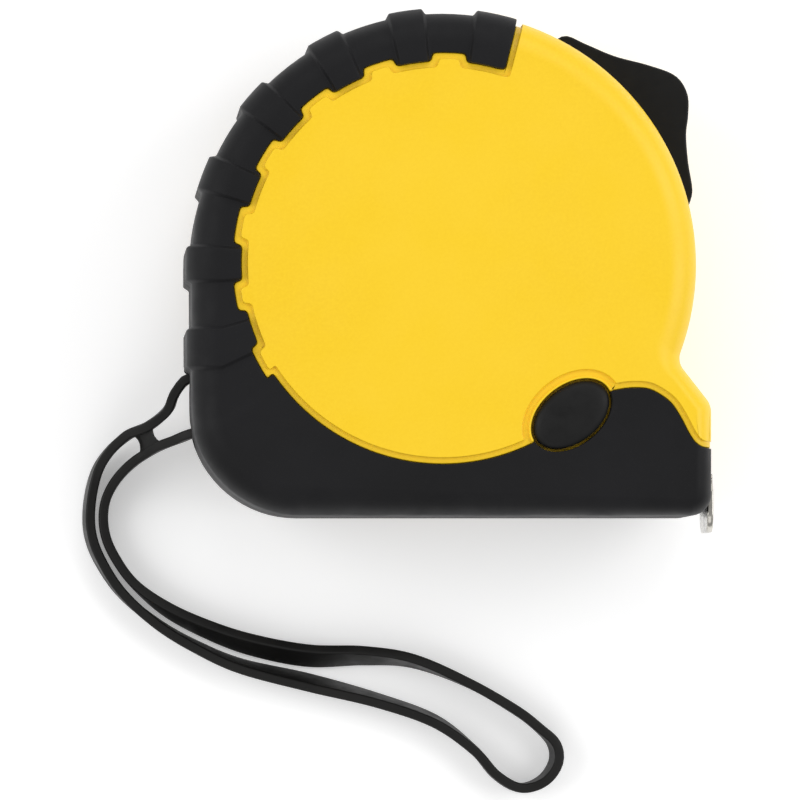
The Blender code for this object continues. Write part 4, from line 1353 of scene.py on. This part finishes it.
def upright(name, outline, low_y, high_y):
    """An outline in X and Z given height along Y."""
    return stack(name, [[(x, y, z) for x, z in outline] for y in (low_y, high_y)])


def blade_tongue():
    body = arched_strip("tongue", BLADE_SPAN, BLADE_HALF, 0.0, BLADE_T)
    holes = [upright("hole", arc((RIVET_X, MID_Z + way * RIVET_OFFSET), RIVET_HOLE, 0.0, 345.0, 15.0),
                     BLADE_Y - 3, BLADE_Y + 3) for way in (-1, 1)]
    return cut(body, gathered(*holes))


def end_hook():
    lift = BLADE_T + GAP
    body = arched_strip("tab", (TAB_X, HOOK_X + HOOK_T), TAB_HALF, lift, TAB_T)
    top = BLADE_Y + lift + TAB_T / 2
    ring = [(top + arch_height(off), MID_Z + off) for off in PLATE_CREST]
    ring += [(y, MID_Z + off) for y, off in PLATE_SHOULDER]
    for side, start in ((1, 0.0), (-1, 90.0)):
        for turned in range(0, 91, 10):
            across, down = polar(start + turned, PLATE_CORNER)
            corner_z = MID_Z + side * (PLATE_HALF - PLATE_CORNER)
            ring.append((HOOK_LOW_Y + PLATE_CORNER - down, corner_z + across))
    ring += [(y, MID_Z - off) for y, off in PLATE_SHOULDER[::-1]]
    join(body, stack("plate", [[(x, y, z) for y, z in ring] for x in (HOOK_X, HOOK_X + HOOK_T)]))
    slots = []
    for way in (-1, 1):
        z = MID_Z + way * RIVET_OFFSET
        ends = arc((RIVET_X, z), RIVET_HOLE, -90.0, 90.0, 15.0)
        ends += arc((RIVET_X - HOOK_FLOAT, z), RIVET_HOLE, 90.0, 270.0, 15.0)
        slots.append(upright("slot", ends, BLADE_Y - 3, BLADE_Y + 4))
    return soften(cut(body, gathered(*slots)), HOOK_ROUND)


def rivet(way):
    """A rivet with a domed head above the hook's tab and a flat tail under the blade."""
    seat = BLADE_Y + BLADE_T + GAP + TAB_T + arch_height(RIVET_OFFSET + 1.5) + 0.1
    levels = [(BLADE_Y + y, r) for y, r in RIVET_TAIL] + [(seat + y, r) for y, r in RIVET_HEAD]
    centre = (RIVET_X, MID_Z + way * RIVET_OFFSET)
    rings = []
    for y, r in levels:
        rings.append([(x, y, z) for x, z in arc(centre, r, 0.0, 345.0, 15.0)])
    return stack("rivet", rings)


def hook_bumper():
    rings = [[(x, y, z) for x, y in BUMPER] for z in (MID_Z - BUMPER_HALF, MID_Z + BUMPER_HALF)]
    return soften(stack("bumper", rings), BUMPER_ROUND)


finished(blade_tongue(), "fine_blade_tongue", "blade_paint", "blade", ["blade_tongue"])
finished(end_hook(), "fine_end_hook", "hook_nickel", "hook", ["end_hook"])
for rivet_node, rivet_way in (("hook_rivet_front", 1), ("hook_rivet_rear", -1)):
    finished(rivet(rivet_way), "fine_" + rivet_node, "screw_steel", "blade", [rivet_node])
finished(hook_bumper(), "fine_hook_bumper", "grip_rubber", "case", ["hook_bumper"])

# %% [markdown]
# ## Belt clip
#
# The clip is a strip of spring steel, bent back on itself. The inner leaf is screwed to the case and the
# outer leaf holds the belt. Its end turns out a little, so that it slides on easily. It is drawn as a
# smooth line with the strip's thickness to both sides.

# %% Bend the clip
CLIP_WIDTH = 18.0
CLIP_T = 0.8
CLIP_PATH = ((2.0, 4.3), (20.0, 4.3), (21.4, 3.75), (21.95, 2.35), (21.4, 0.95), (20.0, 0.4),
             (-12.0, 0.4), (-16.0, 1.0), (-19.5, 1.3), (-22.5, 0.8), (-24.5, 0.4))
CLIP_BENDS = 0.7
CLIP_CORNER = 3.0
CLIP_ACCESS_R = 3.6
CLIP_ROUND = 0.16


def belt_clip():
    line = [tuple(p) for p in rounded(CLIP_PATH, CLIP_BENDS, 8.0)]
    ring = moved(line, CLIP_T / 2) + moved(line, -CLIP_T / 2)[::-1]
    half = CLIP_WIDTH / 2
    body = stack("clip", [[(x, y, max(z, 0.0)) for y, z in ring] for x in (-half, half)])
    tip_y = CLIP_PATH[-1][0] - CLIP_T
    end = arc((half - CLIP_CORNER, tip_y + CLIP_CORNER), CLIP_CORNER, 0.0, -90.0, 10.0)
    end += arc((CLIP_CORNER - half, tip_y + CLIP_CORNER), CLIP_CORNER, -90.0, -180.0, 10.0)
    side_x, side_y = half + 1, tip_y + CLIP_CORNER
    plan = end + [(-side_x, side_y), (-side_x, 30), (side_x, 30), (side_x, side_y)]
    keep(body, slab("plan", plan, -1, 8))
    cut(body, rod("access", (0, CLIP_SCREW_Y), CLIP_ACCESS_R, -1, 2))
    cut(body, rod("hole", (0, CLIP_SCREW_Y), CLIP_HOLE_R, 3, 6, 32))
    return soften(body, CLIP_ROUND)


finished(belt_clip(), "fine_belt_clip", "clip_steel", "case", ["belt_clip"])

# %% [markdown]
# ## Screws
#
# Three small screws hold the case halves together from the rear and a larger one holds the clip. Each has
# a pan head with a cross recess. The head is turned, so it is a stack of circles, and the cross is cut in
# with two bars.

# %% Turn the screws
SCREW_SIDES = 40
HEAD_PROFILE = ((0.9, 0.8), (0.75, 0.92), (0.55, 0.985), (0.35, 1.0), (0.0, 1.0))
HEAD_T = 1.5
RECESS_HALF = 0.24
CLIP_HEAD_R = 3.0
CLIP_SHAFT_R = 1.5


def screw(centre, head_r, head_t, shaft_r, seat_z, tip_z):
    """A pan head screw, driven upwards from the rear."""
    levels = [(seat_z - head_t, head_r * 0.62)]
    for part, width in HEAD_PROFILE:
        levels.append((seat_z - head_t * part, head_r * width))
    levels += [(seat_z, shaft_r), (tip_z - 0.5, shaft_r), (tip_z, shaft_r * 0.55)]
    around = 360.0 / SCREW_SIDES
    rings = [[(*polar(around * i, r, centre), z) for i in range(SCREW_SIDES)] for z, r in levels]
    body = stack("screw", rings)
    arm, low = head_r * 0.55, seat_z - head_t - 0.2
    recess_top = low + 0.2 + head_t * 0.5
    x, y = centre
    for along, across in ((arm, RECESS_HALF), (RECESS_HALF, arm)):
        cut(body, block("recess", (x - along, y - across, low), (x + along, y + across, recess_top)))
    return body


for screw_name, screw_at in SCREWS:
    made_screw = screw(screw_at, HEAD_R, HEAD_T, SCREW_R, REAR_Z + 2.3, MID_Z + 8.5)
    screw_node = "case_screw_" + screw_name
    finished(made_screw, "fine_" + screw_node, "screw_steel", "case", [screw_node])
clip_screw = screw((0, CLIP_SCREW_Y), CLIP_HEAD_R, HEAD_T, CLIP_SHAFT_R, REAR_Z - 1.4, REAR_Z + 5.8)
finished(clip_screw, "fine_clip_screw", "screw_steel", "case", ["clip_screw"])

# %% [markdown]
# ## Inside parts
#
# The reel, the spindle, the main spring, the wound blade, the strap's pin and the felt pad already have
# their right shape in the working model. They only need their finishes.

# %% Give the inside parts their finishes
INSIDE = {"spindle": "inner_plastic", "reel_drum": "inner_plastic", "reel_cover": "inner_plastic",
          "main_spring": "spring_steel", "blade_coil": "blade_paint", "strap_pin": "screw_steel",
          "brake_pad": "pad_felt"}

for inside_node, inside_finish in INSIDE.items():
    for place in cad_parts[inside_node].material_slots:
        place.material = FINISHES[inside_finish]
print("inside parts finished:", len(INSIDE))
